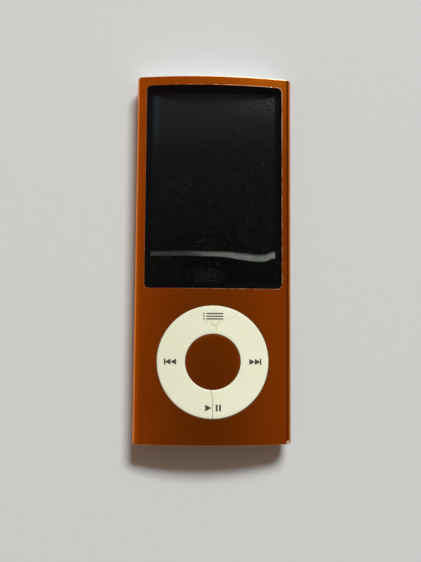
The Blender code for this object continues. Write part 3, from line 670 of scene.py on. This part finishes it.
def case_wear_and_highlights(made):
    """Bare metal along the window's edge and the ends, partly painted highlight lines; a dent at a
    corner, nicks and chips.
    """
    patchy = made.noise(0.45, 3.0)
    fine = made.noise(3.2, 3.0, shift=7.0)
    ragged = made.plus(made.times(patchy, 0.65), made.times(fine, 0.35))
    front = made.fade(made.z, MID_Z, MID_Z + 1.0)
    edge = made.window_distance()
    near_window = made.times(made.fade(edge, 0.20, 0.10), made.fade(edge, -0.3, -0.1))
    # Painted highlight: the pale line round the window, laid most at its top and right towards the
    # lamp, stands for the rim's glint.
    towards_lamp = made.plus(made.times(made.x, 0.004), made.times(made.y, 0.001))
    window = made.times(near_window, front, made.fade(made.plus(ragged, towards_lamp), 0.46, 0.62), 0.7)
    # Painted highlight: the ends are bare more towards the top, so the top end's edge, facing the
    # lamp, is a pale line across its width.
    from_end = made.minus(LENGTH / 2, made.absolute(made.y))
    bare = made.fade(made.plus(ragged, made.times(made.y, 0.005)), 0.45, 0.58)
    ends = made.times(made.fade(from_end, END_ROUNDING, 0.5 * END_ROUNDING), bare)
    side = made.minus(made.absolute(made.x), WIDTH / 2 - 1.6)
    scuffs = made.noise(1.3, 2.0, (1.0, 0.7, 1.0), 3.0)
    nick = made.times(made.fade(side, 0.0, 0.5), made.fade(scuffs, 0.74, 0.78))
    dent_x, dent_y = 18.5, 0.45 - LENGTH / 2
    from_dent = made.length(made.minus(made.x, dent_x), made.minus(made.y, dent_y))
    dent = made.times(made.fade(from_dent, 0.60, 0.35), made.fade(fine, 0.25, 0.40))
    chips = made.times(made.specks(0.3, 0.07, 0.35), 0.45)
    return made.highest(window, ends, nick, dent, chips)


def case_painted_shade(made):
    """Painted shade on the cut walls around the wheel and the window, and dark patches along the
    right side.
    """
    # Painted shade: a dark matte colour on the cut walls, in place of their glints.
    edge = WHEEL_HOLE_RADIUS + 0.02
    around_wheel = made.fade(made.wheel_distance(), edge + 0.05, edge)
    in_window = made.fade(made.window_distance(), RIM_ROUNDING + 0.01, 0.5 * RIM_ROUNDING)
    seams = made.times(made.highest(around_wheel, in_window), made.fade(made.z, MID_Z, MID_Z + 1.0))
    # Painted shade: the right flank, which faces the dark side of the room, is painted dark in
    # patches.
    patchy_shade = made.blend(made.patches(0.35, 0.65, 0.6, 3.0, shift=6.0), 0.45, 0.65)
    right_side = made.fade(made.x, WIDTH / 2 - 0.7, WIDTH / 2 - 0.15)
    return made.highest(seams, made.times(right_side, patchy_shade))


def button_painted_shade(made):
    """Painted shade on the wall between the button and the wheel, in place of its glint."""
    return made.fade(made.wheel_distance(), BUTTON_RADIUS - 0.08, BUTTON_RADIUS - 0.03)


def cap_wear(made):
    """Patches of bare metal on an end cap's outer edge."""
    from_end = made.minus(CAP_OUTER_Y, made.absolute(made.y))
    patchy = made.patches(0.58, 0.68, 1.5, 4.0)
    return made.times(made.fade(from_end, 0.05, 0.0), patchy, 0.5)


def cream_plastic():
    """The wheel: slightly aged cream plastic with grime, a hairline crack, a scuff and a stain."""
    made = Finish("cream wheel plastic")
    cloud = made.patches(0.35, 0.65, 0.16, 4.0)
    colour = made.mix(cloud, (0.87, 0.90, 0.67), (0.90, 0.93, 0.71))
    grime = made.patches(0.62, 0.80, 0.9, 5.0, shift=4.0)
    colour = made.tint(colour, (0.62, 0.56, 0.36), grime, 0.16)
    radius = made.wheel_distance()
    edges = made.highest(
        made.fade(radius, WHEEL_RADIUS - 0.35, WHEEL_RADIUS),
        made.fade(radius, WHEEL_INNER_RADIUS + 0.3, WHEEL_INNER_RADIUS),
    )
    colour = made.tint(colour, (0.78, 0.55, 0.40), edges, 0.32)
    wobble = made.times(made.minus(made.noise(0.5, 3.0, shift=2.0), 0.5), 0.35)
    lean = made.times(made.fade(made.y, WHEEL_Y - 8.8, WHEEL_Y - 6.6), 0.45)
    from_crack = made.absolute(made.plus(made.x, lean, wobble))
    below_button = made.fade(made.y, WHEEL_Y - 6.4, WHEEL_Y - 6.6)
    crack = made.times(made.fade(from_crack, 0.14, 0.03), below_button)
    colour = made.tint(colour, (0.26, 0.23, 0.12), crack, 0.8)
    scuff_centre_y, scuff_radius = WHEEL_Y + 22.6, 12.75
    scuff = made.length(made.x, made.minus(made.y, scuff_centre_y))
    scuff = made.absolute(made.minus(scuff, scuff_radius))
    scuff = made.times(
        made.fade(made.plus(scuff, made.times(wobble, 0.4)), 0.12, 0.03),
        made.fade(made.absolute(made.x), 6.8, 5.8),
        made.patches(0.40, 0.60, 1.2, 2.0, shift=9.0),
    )
    colour = made.tint(colour, (0.45, 0.42, 0.26), scuff, 0.45)
    fork = (0.7, 8.7)
    stain = made.highest(
        made.fade(made.segment_distance((0.8, 7.8), fork), 0.30, 0.02),
        made.fade(made.segment_distance(fork, (-0.2, 9.1)), 0.45, 0.02),
        made.fade(made.segment_distance(fork, (1.5, 9.7)), 0.35, 0.02),
    )
    stain = made.times(stain, made.patches(0.30, 0.60, 1.4, 3.0, shift=12.0))
    colour = made.tint(colour, (0.66, 0.60, 0.20), stain, 0.75)
    dust = made.specks(1.6, 0.12, 0.25)
    colour = made.tint(colour, (0.35, 0.31, 0.22), dust, 0.3)
    relief = made.plus(made.times(made.noise(9.0, 2.0), 0.6), made.times(crack, -2.5))
    return made.set(
        base_color=colour,
        roughness=made.spread(made.noise(0.8, 3.0), 0.42, 0.52),
        subsurface_weight=0.06,
        subsurface_radius=(0.0012, 0.001, 0.0006),
        subsurface_scale=1.0,
        normal=made.bump(relief, 0.006),
    )


def add_dust(made, surface, amount):
    """Fine dust and lint lying on a shader, as spots of pale diffuse grey."""
    crowd = made.patches(0.36, 0.60, 0.12, 3.0, shift=5.0)
    fine = made.specks(1.5, 0.30, 0.4)
    coarse = made.times(made.specks(0.5, 0.10, 0.3), 2.0)
    lint = made.patches(0.755, 0.775, 1.1, 2.0, (1.0, 6.0, 1.0), 11.0)
    spots = made.highest(made.times(fine, crowd), coarse, made.times(lint, crowd, 0.4))
    grey = made.add("BsdfDiffuse")
    made.feed(grey.inputs["Color"], (0.45, 0.45, 0.42))
    mixed = made.add("MixShader")
    made.feed(mixed.inputs[0], made.times(spots, amount))
    made.feed(mixed.inputs[1], surface)
    made.feed(mixed.inputs[2], grey.outputs[0])
    return mixed.outputs[0]


def clear_glass(name, tint, dust, smear):
    """Thin hard glass: clear straight through, mirroring by Fresnel, with smears and dust on it."""
    made = Finish(name)
    through = made.add("BsdfTransparent")
    made.feed(through.inputs["Color"], tint)
    gloss = made.add("BsdfAnisotropic")
    made.feed(gloss.inputs["Color"], (0.34, 0.42, 0.54))
    smudge = made.patches(0.45, 0.7, 0.09, 4.0, (1.0, 0.6, 1.0))
    made.feed(gloss.inputs["Roughness"], made.blend(smudge, 0.03, smear))
    made.feed(gloss.inputs["Normal"], made.bump(made.noise(5.0, 2.0), 0.0003))
    mirror = made.add("Fresnel")
    leaving = made.add("NewGeometry").outputs["Backfacing"]
    made.feed(mirror.inputs["IOR"], made.blend(leaving, 1.5, 1.0))
    mixed = made.add("MixShader")
    made.feed(mixed.inputs[0], mirror.outputs[0])
    made.feed(mixed.inputs[1], through.outputs[0])
    made.feed(mixed.inputs[2], gloss.outputs[0])
    made.tree.nodes.remove(made.shader)
    made.feed(made.output.inputs["Surface"], add_dust(made, mixed.outputs[0], dust))
    return made.material


def display_panel():
    """The unlit screen: dark, faintly mottled, and painted with reflections: lighter towards the
    top, a pale ripple near its lower edge with painted shade under it, and painted fill light along
    the top edge.
    """
    made = Finish("unlit display")
    low = WINDOW_MID_Y - IMAGE_HALF_HEIGHT
    # Painted reflection: the screen is lighter towards its top, nearer the lamp's reflection.
    height = made.fade(made.y, low, low + 2 * IMAGE_HALF_HEIGHT)
    colour = made.mix(height, (0.0014, 0.0016, 0.0008), (0.0060, 0.0075, 0.0072))
    top_reflection = made.fade(made.y, 25.0, 40.0)
    colour = made.tint(colour, (0.018, 0.022, 0.021), top_reflection, 0.75)
    # Painted highlight: a paler, smudged patch at the top right.
    corner_highlight = made.times(made.fade(made.y, 34.0, 40.5), made.fade(made.x, 0.0, 13.0))
    smudges = made.patches(0.35, 0.65, 1.6, 3.0, shift=8.0)
    colour = made.tint(colour, (0.050, 0.058, 0.056), corner_highlight, smudges)
    # Painted light: a paler, bluer strip bowed along the top edge lifts the shadow the border casts
    # on the screen.
    bow = made.times(made.x, made.x, -0.0105)
    shadow_fill = made.fade(made.plus(made.y, bow), 39.1, 40.6)
    colour = made.tint(colour, (0.054, 0.084, 0.092), shadow_fill)
    streak = made.fade(made.absolute(made.plus(made.x, 14.5)), 0.9, 0.1)
    streak = made.times(streak, made.fade(made.y, 24.0, 37.0))
    colour = made.tint(colour, (0.017, 0.028, 0.042), streak, 0.7)
    mottle = made.noise(0.5, 4.0)
    colour = made.tint(colour, (0.011, 0.012, 0.011), made.fade(mottle, 0.4, 0.7), 0.25)
    droop = made.times(made.fade(made.x, 1.0, 10.0), 0.85)
    # Painted shade: near black under the pale ripple and towards the lower left corner, where the
    # screen mirrors dark things above it.
    below = made.fade(made.plus(made.y, droop), 0.6, 0.0)
    corner = made.fade(made.plus(made.x, made.times(made.y, 1.2)), -11.5, -8.5)
    colour = made.tint(colour, (0.0008, 0.0010, 0.0011), below, corner, 0.85)
    patch = made.length(made.times(made.minus(made.x, -1.2), 0.5), made.plus(made.y, 4.6))
    broken = made.patches(0.35, 0.65, 2.2, 2.0, shift=1.0)
    patch = made.times(made.fade(patch, 3.0, 0.6), broken)
    colour = made.tint(colour, (0.020, 0.024, 0.020), patch, 0.6)
    # Painted reflection: a pale, streaked ripple across the lower screen, dipping at the right edge
    # and fading to the left.
    right_dip = made.times(made.fade(made.x, 12.6, 15.0), -0.7)
    ripple = made.times(made.minus(made.noise(0.16, 2.0, (1.0, 0.2, 1.0)), 0.5), 0.8)
    reflected_band = made.minus(made.plus(made.y, droop, right_dip, ripple), low + 7.2)
    widening = made.blend(made.fade(made.x, 0.0, 9.0), 1.0, 0.72)
    reflected_band = made.times(reflected_band, widening)
    reflected_band = made.times(made.fade(reflected_band, -0.78, -0.45), made.fade(reflected_band, 0.8, 0.1))
    streaks = made.patches(0.35, 0.65, 0.5, 3.0, (0.5, 2.0, 1.0), 3.0)
    streaks = made.blend(streaks, 0.7, 1.0)
    reach = made.blend(made.fade(made.x, -9.0, 5.0), 0.22, 1.0)
    reflected_band = made.times(reflected_band, streaks, reach)
    colour = made.tint(colour, (0.235, 0.26, 0.235), reflected_band, 0.95)
    return made.set(
        base_color=colour,
        roughness=made.spread(mottle, 0.36, 0.46),
        specular_ior_level=0.02,
        normal=made.bump(made.noise(6.0, 2.0), 0.002),
    )


def moulded(name, colour, rough, grain=7.0):
    """Moulded plastic, rubber or foam: a fine texture and slight unevenness of colour."""
    made = Finish(name)
    texture = made.noise(grain, 3.0)
    paler = tuple(min(1.0, part * 1.35 + 0.004) for part in colour)
    return made.set(
        base_color=made.mix(made.patches(0.35, 0.7, 0.35, 4.0), colour, paler),
        roughness=made.spread(texture, rough - 0.06, rough + 0.08),
        normal=made.bump(texture, 0.01),
    )


def black_ink():
    """The deep black border behind the glass, barely uneven."""
    made = Finish("black ink")
    uneven = made.noise(0.8, 4.0)
    deep = (0.0012, 0.0014, 0.0024)
    paler = (0.0022, 0.0024, 0.0034)
    return made.set(
        base_color=made.mix(made.fade(uneven, 0.35, 0.65), deep, paler),
        roughness=made.spread(uneven, 0.5, 0.6),
        specular_ior_level=0.02,
        normal=made.bump(made.noise(6.0, 2.0), 0.001),
    )


def brushed_metal(name, colour, rough):
    """Stamped or plated sheet: drawn lines along one way, with tarnish."""
    made = Finish(name)
    drawn = made.noise(2.0, 3.0, (0.4, 8.0, 3.0))
    tarnish = made.patches(0.5, 0.75, 0.6, 4.0, shift=3.0)
    dull = tuple(part * 0.62 for part in colour)
    lines = made.spread(drawn, rough - 0.05, rough + 0.08)
    return made.set(
        base_color=made.mix(made.times(tarnish, 0.6), colour, dull),
        metallic=1.0,
        roughness=made.plus(lines, made.times(tarnish, 0.12)),
        normal=made.bump(drawn, 0.003),
    )


def circuit_board(name, mask, copper, spacing):
    """Solder mask over copper tracks that run in short straight steps."""
    made = Finish(name)
    node = made.add("TexVoronoi", distance="CHEBYCHEV", feature="F1")
    made.feed(node.inputs["Vector"], made.place)
    made.feed(node.inputs["Scale"], spacing)
    made.feed(node.inputs["Randomness"], 0.45)
    from_track = made.absolute(made.minus(node.outputs["Distance"], 0.32))
    track = made.fade(from_track, 0.07, 0.03)
    weave = made.noise(4.0, 2.0)
    return made.set(
        base_color=made.mix(made.times(track, 0.55), mask, copper),
        roughness=made.spread(weave, 0.3, 0.42),
        normal=made.bump(made.plus(track, made.times(weave, 0.3)), 0.012),
    )


def uneven(name, noise, patches, colours, rough_range, depth_mm, **more):
    """Two colours in patches of one noise, which also sets the roughness and the relief."""
    made = Finish(name)
    texture = made.noise(*noise)
    return made.set(
        base_color=made.mix(made.fade(texture, *patches), *colours),
        roughness=made.spread(texture, *rough_range),
        normal=made.bump(texture, depth_mm),
        **more,
    )


def icon_ink():
    """Dark grey printing on the wheel, a little thin and chipped at its edges."""
    made = Finish("icon ink")
    thin = made.patches(0.52, 0.74, 5.0, 3.0)
    return made.set(
        base_color=made.mix(made.times(thin, 0.35), (0.055, 0.055, 0.042), (0.40, 0.39, 0.28)),
        roughness=made.spread(thin, 0.5, 0.6),
        normal=made.bump(thin, 0.003),
    )


BRUSHED = (3.0, 3.0, (1.0, 1.0, 4.0))
PAINT_COLOURS = ((0.82, 0.15, 0.015), (0.95, 0.24, 0.03))
CHIP_COLOURS = ((0.016, 0.016, 0.018), (0.03, 0.03, 0.032))
FOIL_COLOURS = ((0.50, 0.51, 0.53), (0.66, 0.67, 0.69))

# Every slot's finish, and the icons' ink.
FINISHES = {
    "anodised_case": anodised(
        "orange anodised case", DYED, DYED_ROUGH, wear_and_highlight=case_wear_and_highlights, grime=case_painted_shade
    ),
    "anodised_cap": anodised("satin silver cap", PLAIN, PLAIN_ROUGH, 0.8, cap_wear),
    "anodised_button": anodised(
        "orange anodised button", DYED, DYED_ROUGH, 0.8, grime=button_painted_shade
    ),
    "cover_glass": clear_glass("cover glass", (0.96, 0.97, 0.97), 0.035, 0.09),
    "camera_glass": clear_glass("camera glass", (0.35, 0.37, 0.42), 0.05, 0.05),
    "black_ink": black_ink(),
    "display_panel": display_panel(),
    "clear_acrylic": moulded("frosted acrylic", (0.72, 0.76, 0.76), 0.3),
    "cream_plastic": cream_plastic(),
    "moulded_plastic": moulded("grey moulded plastic", (0.05, 0.05, 0.055), 0.55),
    "marker_paint": uneven(
        "hold marker paint", BRUSHED, (0.3, 0.7), PAINT_COLOURS, (0.42, 0.55), 0.006
    ),
    "black_plastic": moulded("black plastic", (0.010, 0.010, 0.011), 0.45),
    "steel": brushed_metal("stamped steel", (0.62, 0.61, 0.59), 0.32),
    "gold_contact": brushed_metal("gold plated contact", (0.85, 0.58, 0.22), 0.26),
    "circuit_board": circuit_board(
        "green circuit board", (0.010, 0.085, 0.035), (0.05, 0.22, 0.09), 0.9
    ),
    "flex_circuit": circuit_board("amber flex circuit", (0.42, 0.17, 0.02), (0.62, 0.3, 0.07), 1.4),
    "chip_package": uneven(
        "chip package", (11.0, 3.0), (0.4, 0.7), CHIP_COLOURS, (0.5, 0.66), 0.006
    ),
    "battery_foil": uneven(
        "battery foil", (0.55, 5.0), (0.3, 0.7), FOIL_COLOURS, (0.28, 0.42), 0.05, metallic=0.85
    ),
    "foam": moulded("grey foam", (0.10, 0.10, 0.10), 0.9, 3.0),
    "icon_ink": icon_ink(),
}


# ---------------- case and caps


def make_case():
    """The tube: rounded ends, and rims that round off around every opening."""
    end = LENGTH / 2
    edge = [(drop - end, inset) for inset, drop in quarter_round(END_ROUNDING)]
    far_edge = [(-y, inset) for y, inset in edge[::-1]]
    tube = case_prism("case_shell", edge + far_edge)
    wheel = round_outline((0, WHEEL_Y), WHEEL_HOLE_RADIUS, ROUND_SEGMENTS)
    camera = round_outline(CAMERA_XY, CAMERA_WINDOW_RADIUS + GAP)
    microphone = round_outline(MICROPHONE_XY, MICROPHONE_HOLE_RADIUS, 32)
    jack = circle((JACK_X, MID_Z), JACK_RELIEF_RADIUS)
    jack_relief = [[(x, y, z) for x, z in jack] for y in (-end - THROUGH, JACK_RELIEF_Y)]
    carve(
        tube,
        *bore(
            case_prism("tube_bore", ((-end - THROUGH, WALL), (end + THROUGH, WALL))),
            rim_tool("window", window_outline, FRONT, RIM_ROUNDING),
            rim_tool("wheel_hole", wheel, FRONT, FINE_ROUNDING),
            rim_tool("lens_hole", camera, BACK, LENS_HOLE_ROUNDING),
            rim_tool("sound_hole", microphone, BACK, SMALL_ROUNDING),
            loft("jack_relief", jack_relief),
        ),
    )
    finish_piece(tube, "case", "anodised_case", "case_tube")


def make_caps():
    """The two end caps, with a small round at their outer edge and around their openings."""
    edge = quarter_round(SMALL_ROUNDING, 3)
    stations = [(CAP_OUTER_Y - drop, CAP_INSET + inset) for inset, drop in edge]
    stations.append((CAP_INNER_Y, CAP_INSET))
    top = case_prism("top_cap", stations)
    hold_x = (HOLD_KNOB_X[0] - GAP, HOLD_KNOB_X[1] + HOLD_TRAVEL + GAP)
    hold_z = (HOLD_KNOB_Z[0] - GAP, HOLD_KNOB_Z[1] + GAP)
    slot = slot_outline(hold_x, hold_z, HOLD_SLOT_CORNER)
    carve(top, *bore(rim_tool("hold_slot", slot, TOP_END, SMALL_ROUNDING)))
    finish_piece(top, "case", "anodised_cap", "top_end_cap")

    bottom = case_prism("bottom_cap", [(-y, inset) for y, inset in stations])
    dock = slot_outline(
        (DOCK_X - DOCK_HALF_WIDTH, DOCK_X + DOCK_HALF_WIDTH),
        (MID_Z - DOCK_HALF_HEIGHT, MID_Z + DOCK_HALF_HEIGHT),
        DOCK_CORNER,
    )
    jack = round_outline((JACK_X, MID_Z), JACK_BORE_RADIUS)
    carve(
        bottom,
        *bore(
            rim_tool("dock_slot", dock, BOTTOM_END, SMALL_ROUNDING),
            rim_tool("jack_hole", jack, BOTTOM_END, JACK_ROUNDING),
        ),
    )
    finish_piece(bottom, "case", "anodised_cap", "bottom_end_cap")


def make_glass():
    """The crowned cover glass, with a rounded edge and the lip that holds it under the wall."""
    glass = case_prism(
        "cover_glass", ((WINDOW_BOTTOM_Y - GAP, RECESS), (WINDOW_TOP_Y + GAP, RECESS))
    )
    shrunk = Face(
        lambda p, depth: (p[0], p[1], front_z(p[0], RECESS + depth)),
        FRONT.flat,
        GLASS_BOTTOM_Z,
        FRONT.outer,
    )
    plug = rim_tool(
        "plug", lambda margin: window_outline(margin - GAP), shrunk, GLASS_ROUNDING, grows=-1
    )
    carve(glass, ("INTERSECT", plug))
    past_window = (WINDOW_BOTTOM_Y - THROUGH, WINDOW_TOP_Y + THROUGH)
    lip = case_prism("glass_lip", [(y, WALL + GAP) for y in past_window])
    levels = (GLASS_BOTTOM_Z, THICKNESS + THROUGH)
    reach = loft("lip_reach", [[(x, y, z) for x, y in window_outline(GLASS_LIP)] for z in levels])
    carve(lip, ("INTERSECT", reach))
    carve(glass, ("UNION", lip))
    carve(glass, *bore(case_prism("underside", [(y, GLASS_DEPTH) for y in past_window])))
    finish_piece(glass, "case", "cover_glass", "display_glass")


# ---------------- wheel


def make_wheel():
    """The ring's crowned top with rounded edges, over the lip that keeps it in the case."""
    inner, outer = WHEEL_INNER_RADIUS, WHEEL_RADIUS
    profile = [(inner, WHEEL_BOTTOM_Z)]
    edge = quarter_round(WHEEL_ROUNDING)
    for inset, drop in edge[::-1]:
        profile.append((inner + inset, under_front(RECESS + drop)))
    span = 10
    flat = outer - inner - 2 * WHEEL_ROUNDING
    for step in range(1, span):
        profile.append((inner + WHEEL_ROUNDING + flat * step / span, under_front(RECESS)))
    for inset, drop in edge:
        profile.append((outer - inset, under_front(RECESS + drop)))
    lip = under_front(WHEEL_LIP_DEPTH)
    profile += [(outer, lip), (WHEEL_LIP_RADIUS, lip), (WHEEL_LIP_RADIUS, WHEEL_BOTTOM_Z)]
    wheel = turned("wheel_ring", profile, (0.0, WHEEL_Y))
    finish_piece(wheel, "control_wheel", "cream_plastic", "control_wheel")


def make_button():
    """The centre button: a crowned disc with a rounded edge, its lip and its nub."""
    profile = [(0, under_front(RECESS))]
    span = 8
    for step in range(1, span):
        profile.append(((BUTTON_RADIUS - FINE_ROUNDING) * step / span, under_front(RECESS)))
    for inset, drop in quarter_round(FINE_ROUNDING):
        profile.append((BUTTON_RADIUS - inset, under_front(RECESS + drop)))
    low, high = BUTTON_LIP_Z
    profile += [
        (BUTTON_RADIUS, high),
        (BUTTON_LIP_RADIUS, high),
        (BUTTON_LIP_RADIUS, low),
        (BUTTON_NUB_RADIUS, low),
        (BUTTON_NUB_RADIUS, BUTTON_NUB_Z),
        (0, BUTTON_NUB_Z),
    ]
    button = turned("button_disc", profile, (0.0, WHEEL_Y))
    finish_piece(button, "center_button", "anodised_button", "center_button")


def ink_strip(build, sections):
    """A thin raised strip of ink through (x, low y, high y) sections, from the wheel's centre."""
    rings = []
    for x, low, high in sections:
        bottom = front_z(x, RECESS + 2 * INK_HEIGHT)
        top = front_z(x, RECESS - INK_HEIGHT)
        corners = ((low, bottom), (high, bottom), (high, top), (low, top))
        rings.append([(x, WHEEL_Y + y, z) for y, z in corners])
    add_skin(build, rings)


def ink_bar(build, x_range, y_range, steps=1):
    """A straight bar with eased ends, in steps that follow the crown."""
    (x0, x1), (low, high) = x_range, y_range
    length = x1 - x0 - 2 * INK_EASE
    sections = [(x0, low + INK_EASE, high - INK_EASE)]
    for step in range(steps + 1):
        sections.append((x0 + INK_EASE + length * step / steps, low, high))
    sections.append((x1, low + INK_EASE, high - INK_EASE))
    ink_strip(build, sections)


def ink_arrow(build, base_x, tip_x, y, half_height):
    """A triangle with a slightly blunted tip."""
    base = (base_x, y - half_height, y + half_height)
    tip = (tip_x, y - INK_EASE, y + INK_EASE)
    ink_strip(build, (base, tip))


def add_icon(name, build):
    icon = add_object(name, build)
    finish_piece(icon, "control_wheel", "black_ink", finish="icon_ink")


def make_icons():
    """The four printed symbols: menu, previous, next, and play or pause."""
    menu = bmesh.new()
    for y in ROW_MIDDLES:
        row = (y - ROW_HALF_HEIGHT, y + ROW_HALF_HEIGHT)
        ink_bar(menu, ROW_DOT_X, row)
        ink_bar(menu, ROW_BAR_X, row, 8)
    add_icon("menu_icon", menu)
    for name, side in (("next_icon", 1), ("previous_icon", -1)):
        skip = bmesh.new()
        for base in SKIP_BASES:
            ink_arrow(skip, side * base, side * (base + SKIP_LENGTH), 0.0, SKIP_HALF_HEIGHT)
        bar = sorted(side * x for x in SKIP_BAR_X)
        ink_bar(skip, bar, (-SKIP_HALF_HEIGHT, SKIP_HALF_HEIGHT))
        add_icon(name, skip)
    play = bmesh.new()
    ink_arrow(play, *PLAY_X, PLAY_Y, PLAY_HALF_HEIGHT)
    for left in PAUSE_BARS_X:
        pause = (PLAY_Y - PLAY_HALF_HEIGHT, PLAY_Y + PLAY_HALF_HEIGHT)
        ink_bar(play, (left, left + PAUSE_BAR_WIDTH), pause)
    add_icon("play_pause_icon", play)


# ---------------- snap domes

# The joint that presses each dome, and the share of its height that is left when it is pressed.
PRESSED_DOMES = {
    "menu_dome": ("menu_play_tilt", 0.6),
    "play_dome": ("menu_play_tilt", 0.6),
    "center_dome": ("center_press", 0.25),
}


def make_dome(name):
    """A smooth sprung disc over its board; a dome that is pressed gets a mesh of its own."""
    low, high = node_box(name)
    radius = (high.x - low.x) / 2
    rise = high.z - low.z
    span = 8
    top = []
    for step in range(span + 1):
        share = step / span
        top.append((radius * share, high.z - (rise - DOME_SHEET / 2) * share**2.5))
    under = [(distance, height - DOME_SHEET) for distance, height in top[-2::-1]]
    profile = top + [(radius, low.z)] + under
    centre = ((low.x + high.x) / 2, (low.y + high.y) / 2)
    dome = turned(f"{name}_disc", profile, centre, 48)
    finish_piece(dome, "case", "steel", name)
    if name in PRESSED_DOMES:
        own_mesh(dome)


def make_domes():
    for name in ("menu_dome", "next_dome", "play_dome", "previous_dome", "center_dome"):
        make_dome(name)


# ---------------- back


def make_camera_window():
    """The round window in the back, with a rounded edge."""
    radius = CAMERA_WINDOW_RADIUS
    profile = [(0, inside_back(RECESS)), (radius / 2, inside_back(RECESS))]
    for inset, drop in quarter_round(SMALL_ROUNDING, 3):
        profile.append((radius - inset, inside_back(RECESS + drop)))
    profile += [(radius, inside_back(WALL)), (0, inside_back(WALL))]
    window = turned("camera_cover", profile, CAMERA_XY, 96)
    finish_piece(window, "case", "camera_glass", "camera_window")


# ---------------- carried-over CAD nodes


def dress_cad_nodes():
    """Give every CAD node that still shows its slot's procedural finish."""
    slots = {entry["node"]: entry["material_slot"] for entry in frame["record"]["subparts"]}
    for name, node in frame["nodes"].items():
        node.data.materials.clear()
        node.data.materials.append(FINISHES[slots[name]])


# ---------------- stage, light and camera


def make_floor():
    """A wide sheet of pale matt paper."""
    made = Finish("pale paper")
    fibre = made.noise(0.35, 5.0)
    pulp = made.noise(3.0, 4.0, shift=6.0)
    tone = made.mix(made.fade(fibre, 0.3, 0.7), (0.655, 0.68, 0.665), (0.665, 0.69, 0.675))
    made.set(
        base_color=tone,
        roughness=made.spread(pulp, 0.75, 0.9),
        specular_ior_level=0.25,
        normal=made.bump(pulp, 0.02),
    )
    build = bmesh.new()
    rim = [build.verts.new((x, y, FLOOR_Z)) for x, y in circle((0, 0), FLOOR_RADIUS, 96)]
    build.faces.new(rim)
    floor = add_object("floor", build)
    floor.data.materials.append(made.material)


def make_key_light():
    """A wide soft box beyond the player's top end, facing the player."""
    lamp = bpy.data.lights.new("key_light", "AREA")
    lamp.shape = "RECTANGLE"
    lamp.size = KEY_SIZE[0] * MM
    lamp.size_y = KEY_SIZE[1] * MM
    lamp.energy = KEY_WATTS
    lamp.color = KEY_COLOUR
    key = bpy.data.objects.new("key_light", lamp)
    towards = Vector(KEY_DIRECTION).normalized()
    key.location = towards * KEY_DISTANCE * MM
    key.rotation_euler = towards.to_track_quat("Z", "Y").to_euler()
    bpy.context.scene.collection.objects.link(key)


def room_ramp(room, height, stops):
    """Colours of the room from the horizon, at 0, up to its darkest direction, at 1."""
    ramp = room.add("ValToRGB")
    room.feed(ramp.inputs[0], height)
    elements = ramp.color_ramp.elements
    (elements[0].position, first), *middle, (elements[1].position, last) = stops
    elements[0].color = (*first, 1.0)
    elements[1].color = (*last, 1.0)
    for position, colour in middle:
        elements.new(position).color = (*colour, 1.0)
    return ramp.outputs[0]


def make_world():
    """A dim warm room: darkest nearly overhead, dark low on the right, and glowing by the key."""
    world = bpy.data.worlds.new("room")
    bpy.context.scene.world = world
    world.use_nodes = True
    room = Nodes(world.node_tree)
    direction = room.add("TexCoord").outputs["Generated"]

    def towards(vector):
        dot = room.add("VectorMath", operation="DOT_PRODUCT")
        room.feed(dot.inputs[0], direction)
        room.feed(dot.inputs[1], Vector(vector).normalized())
        return dot.outputs["Value"]

    height = towards(DARKEST_DIRECTION)
    overhead = ((0.90, (0.205, 0.13, 0.09)), (1.0, (0.09, 0.074, 0.07)))
    left = ((0.0, (0.26, 0.185, 0.145)), (0.45, (0.28, 0.175, 0.125)), (0.72, (0.32, 0.20, 0.14)))
    right = ((0.0, (0.06, 0.042, 0.035)), (0.45, (0.07, 0.045, 0.036)), (0.72, (0.155, 0.1, 0.075)))
    colour = room.mix(
        room.fade(towards((1.0, 0.0, 0.0)), -0.5, 0.4),
        room_ramp(room, height, left + overhead),
        room_ramp(room, height, right + overhead),
    )
    near_key = room.add("Math", operation="POWER", use_clamp=True)
    room.feed(near_key.inputs[0], towards(KEY_DIRECTION))
    room.feed(near_key.inputs[1], GLOW_NARROWNESS)
    glow = room.add("Mix", data_type="RGBA", blend_type="ADD")
    room.feed(glow.inputs[0], near_key.outputs[0])
    room.feed(glow.inputs[6], colour)
    room.feed(glow.inputs[7], (GLOW_STRENGTH, GLOW_STRENGTH, GLOW_STRENGTH))
    room.feed(room.tree.nodes["Background"].inputs["Color"], glow.outputs[2])


def make_camera():
    """A pinhole camera almost straight above the player, a little left of and below its middle."""
    lens = bpy.data.cameras.new("camera")
    lens.sensor_width = 36.0
    lens.lens = LENS
    lens.clip_start = 0.002
    lens.clip_end = 20.0
    camera = bpy.data.objects.new("camera", lens)
    turn = Vector([math.radians(degrees) for degrees in CAMERA_TURN_DEG])
    attitude = Matrix.Rotation(turn.length, 4, turn.normalized())
    camera.matrix_world = Matrix.Translation(Vector(CAMERA_PLACE) * MM) @ attitude
    bpy.context.scene.collection.objects.link(camera)
    bpy.context.scene.camera = camera


make_camera()
dress_cad_nodes()
make_case()
make_caps()
make_glass()
make_wheel()
make_button()
make_icons()
make_domes()
make_camera_window()
make_floor()
make_key_light()
make_world()
bpy.context.scene.view_settings.view_transform = "Standard"
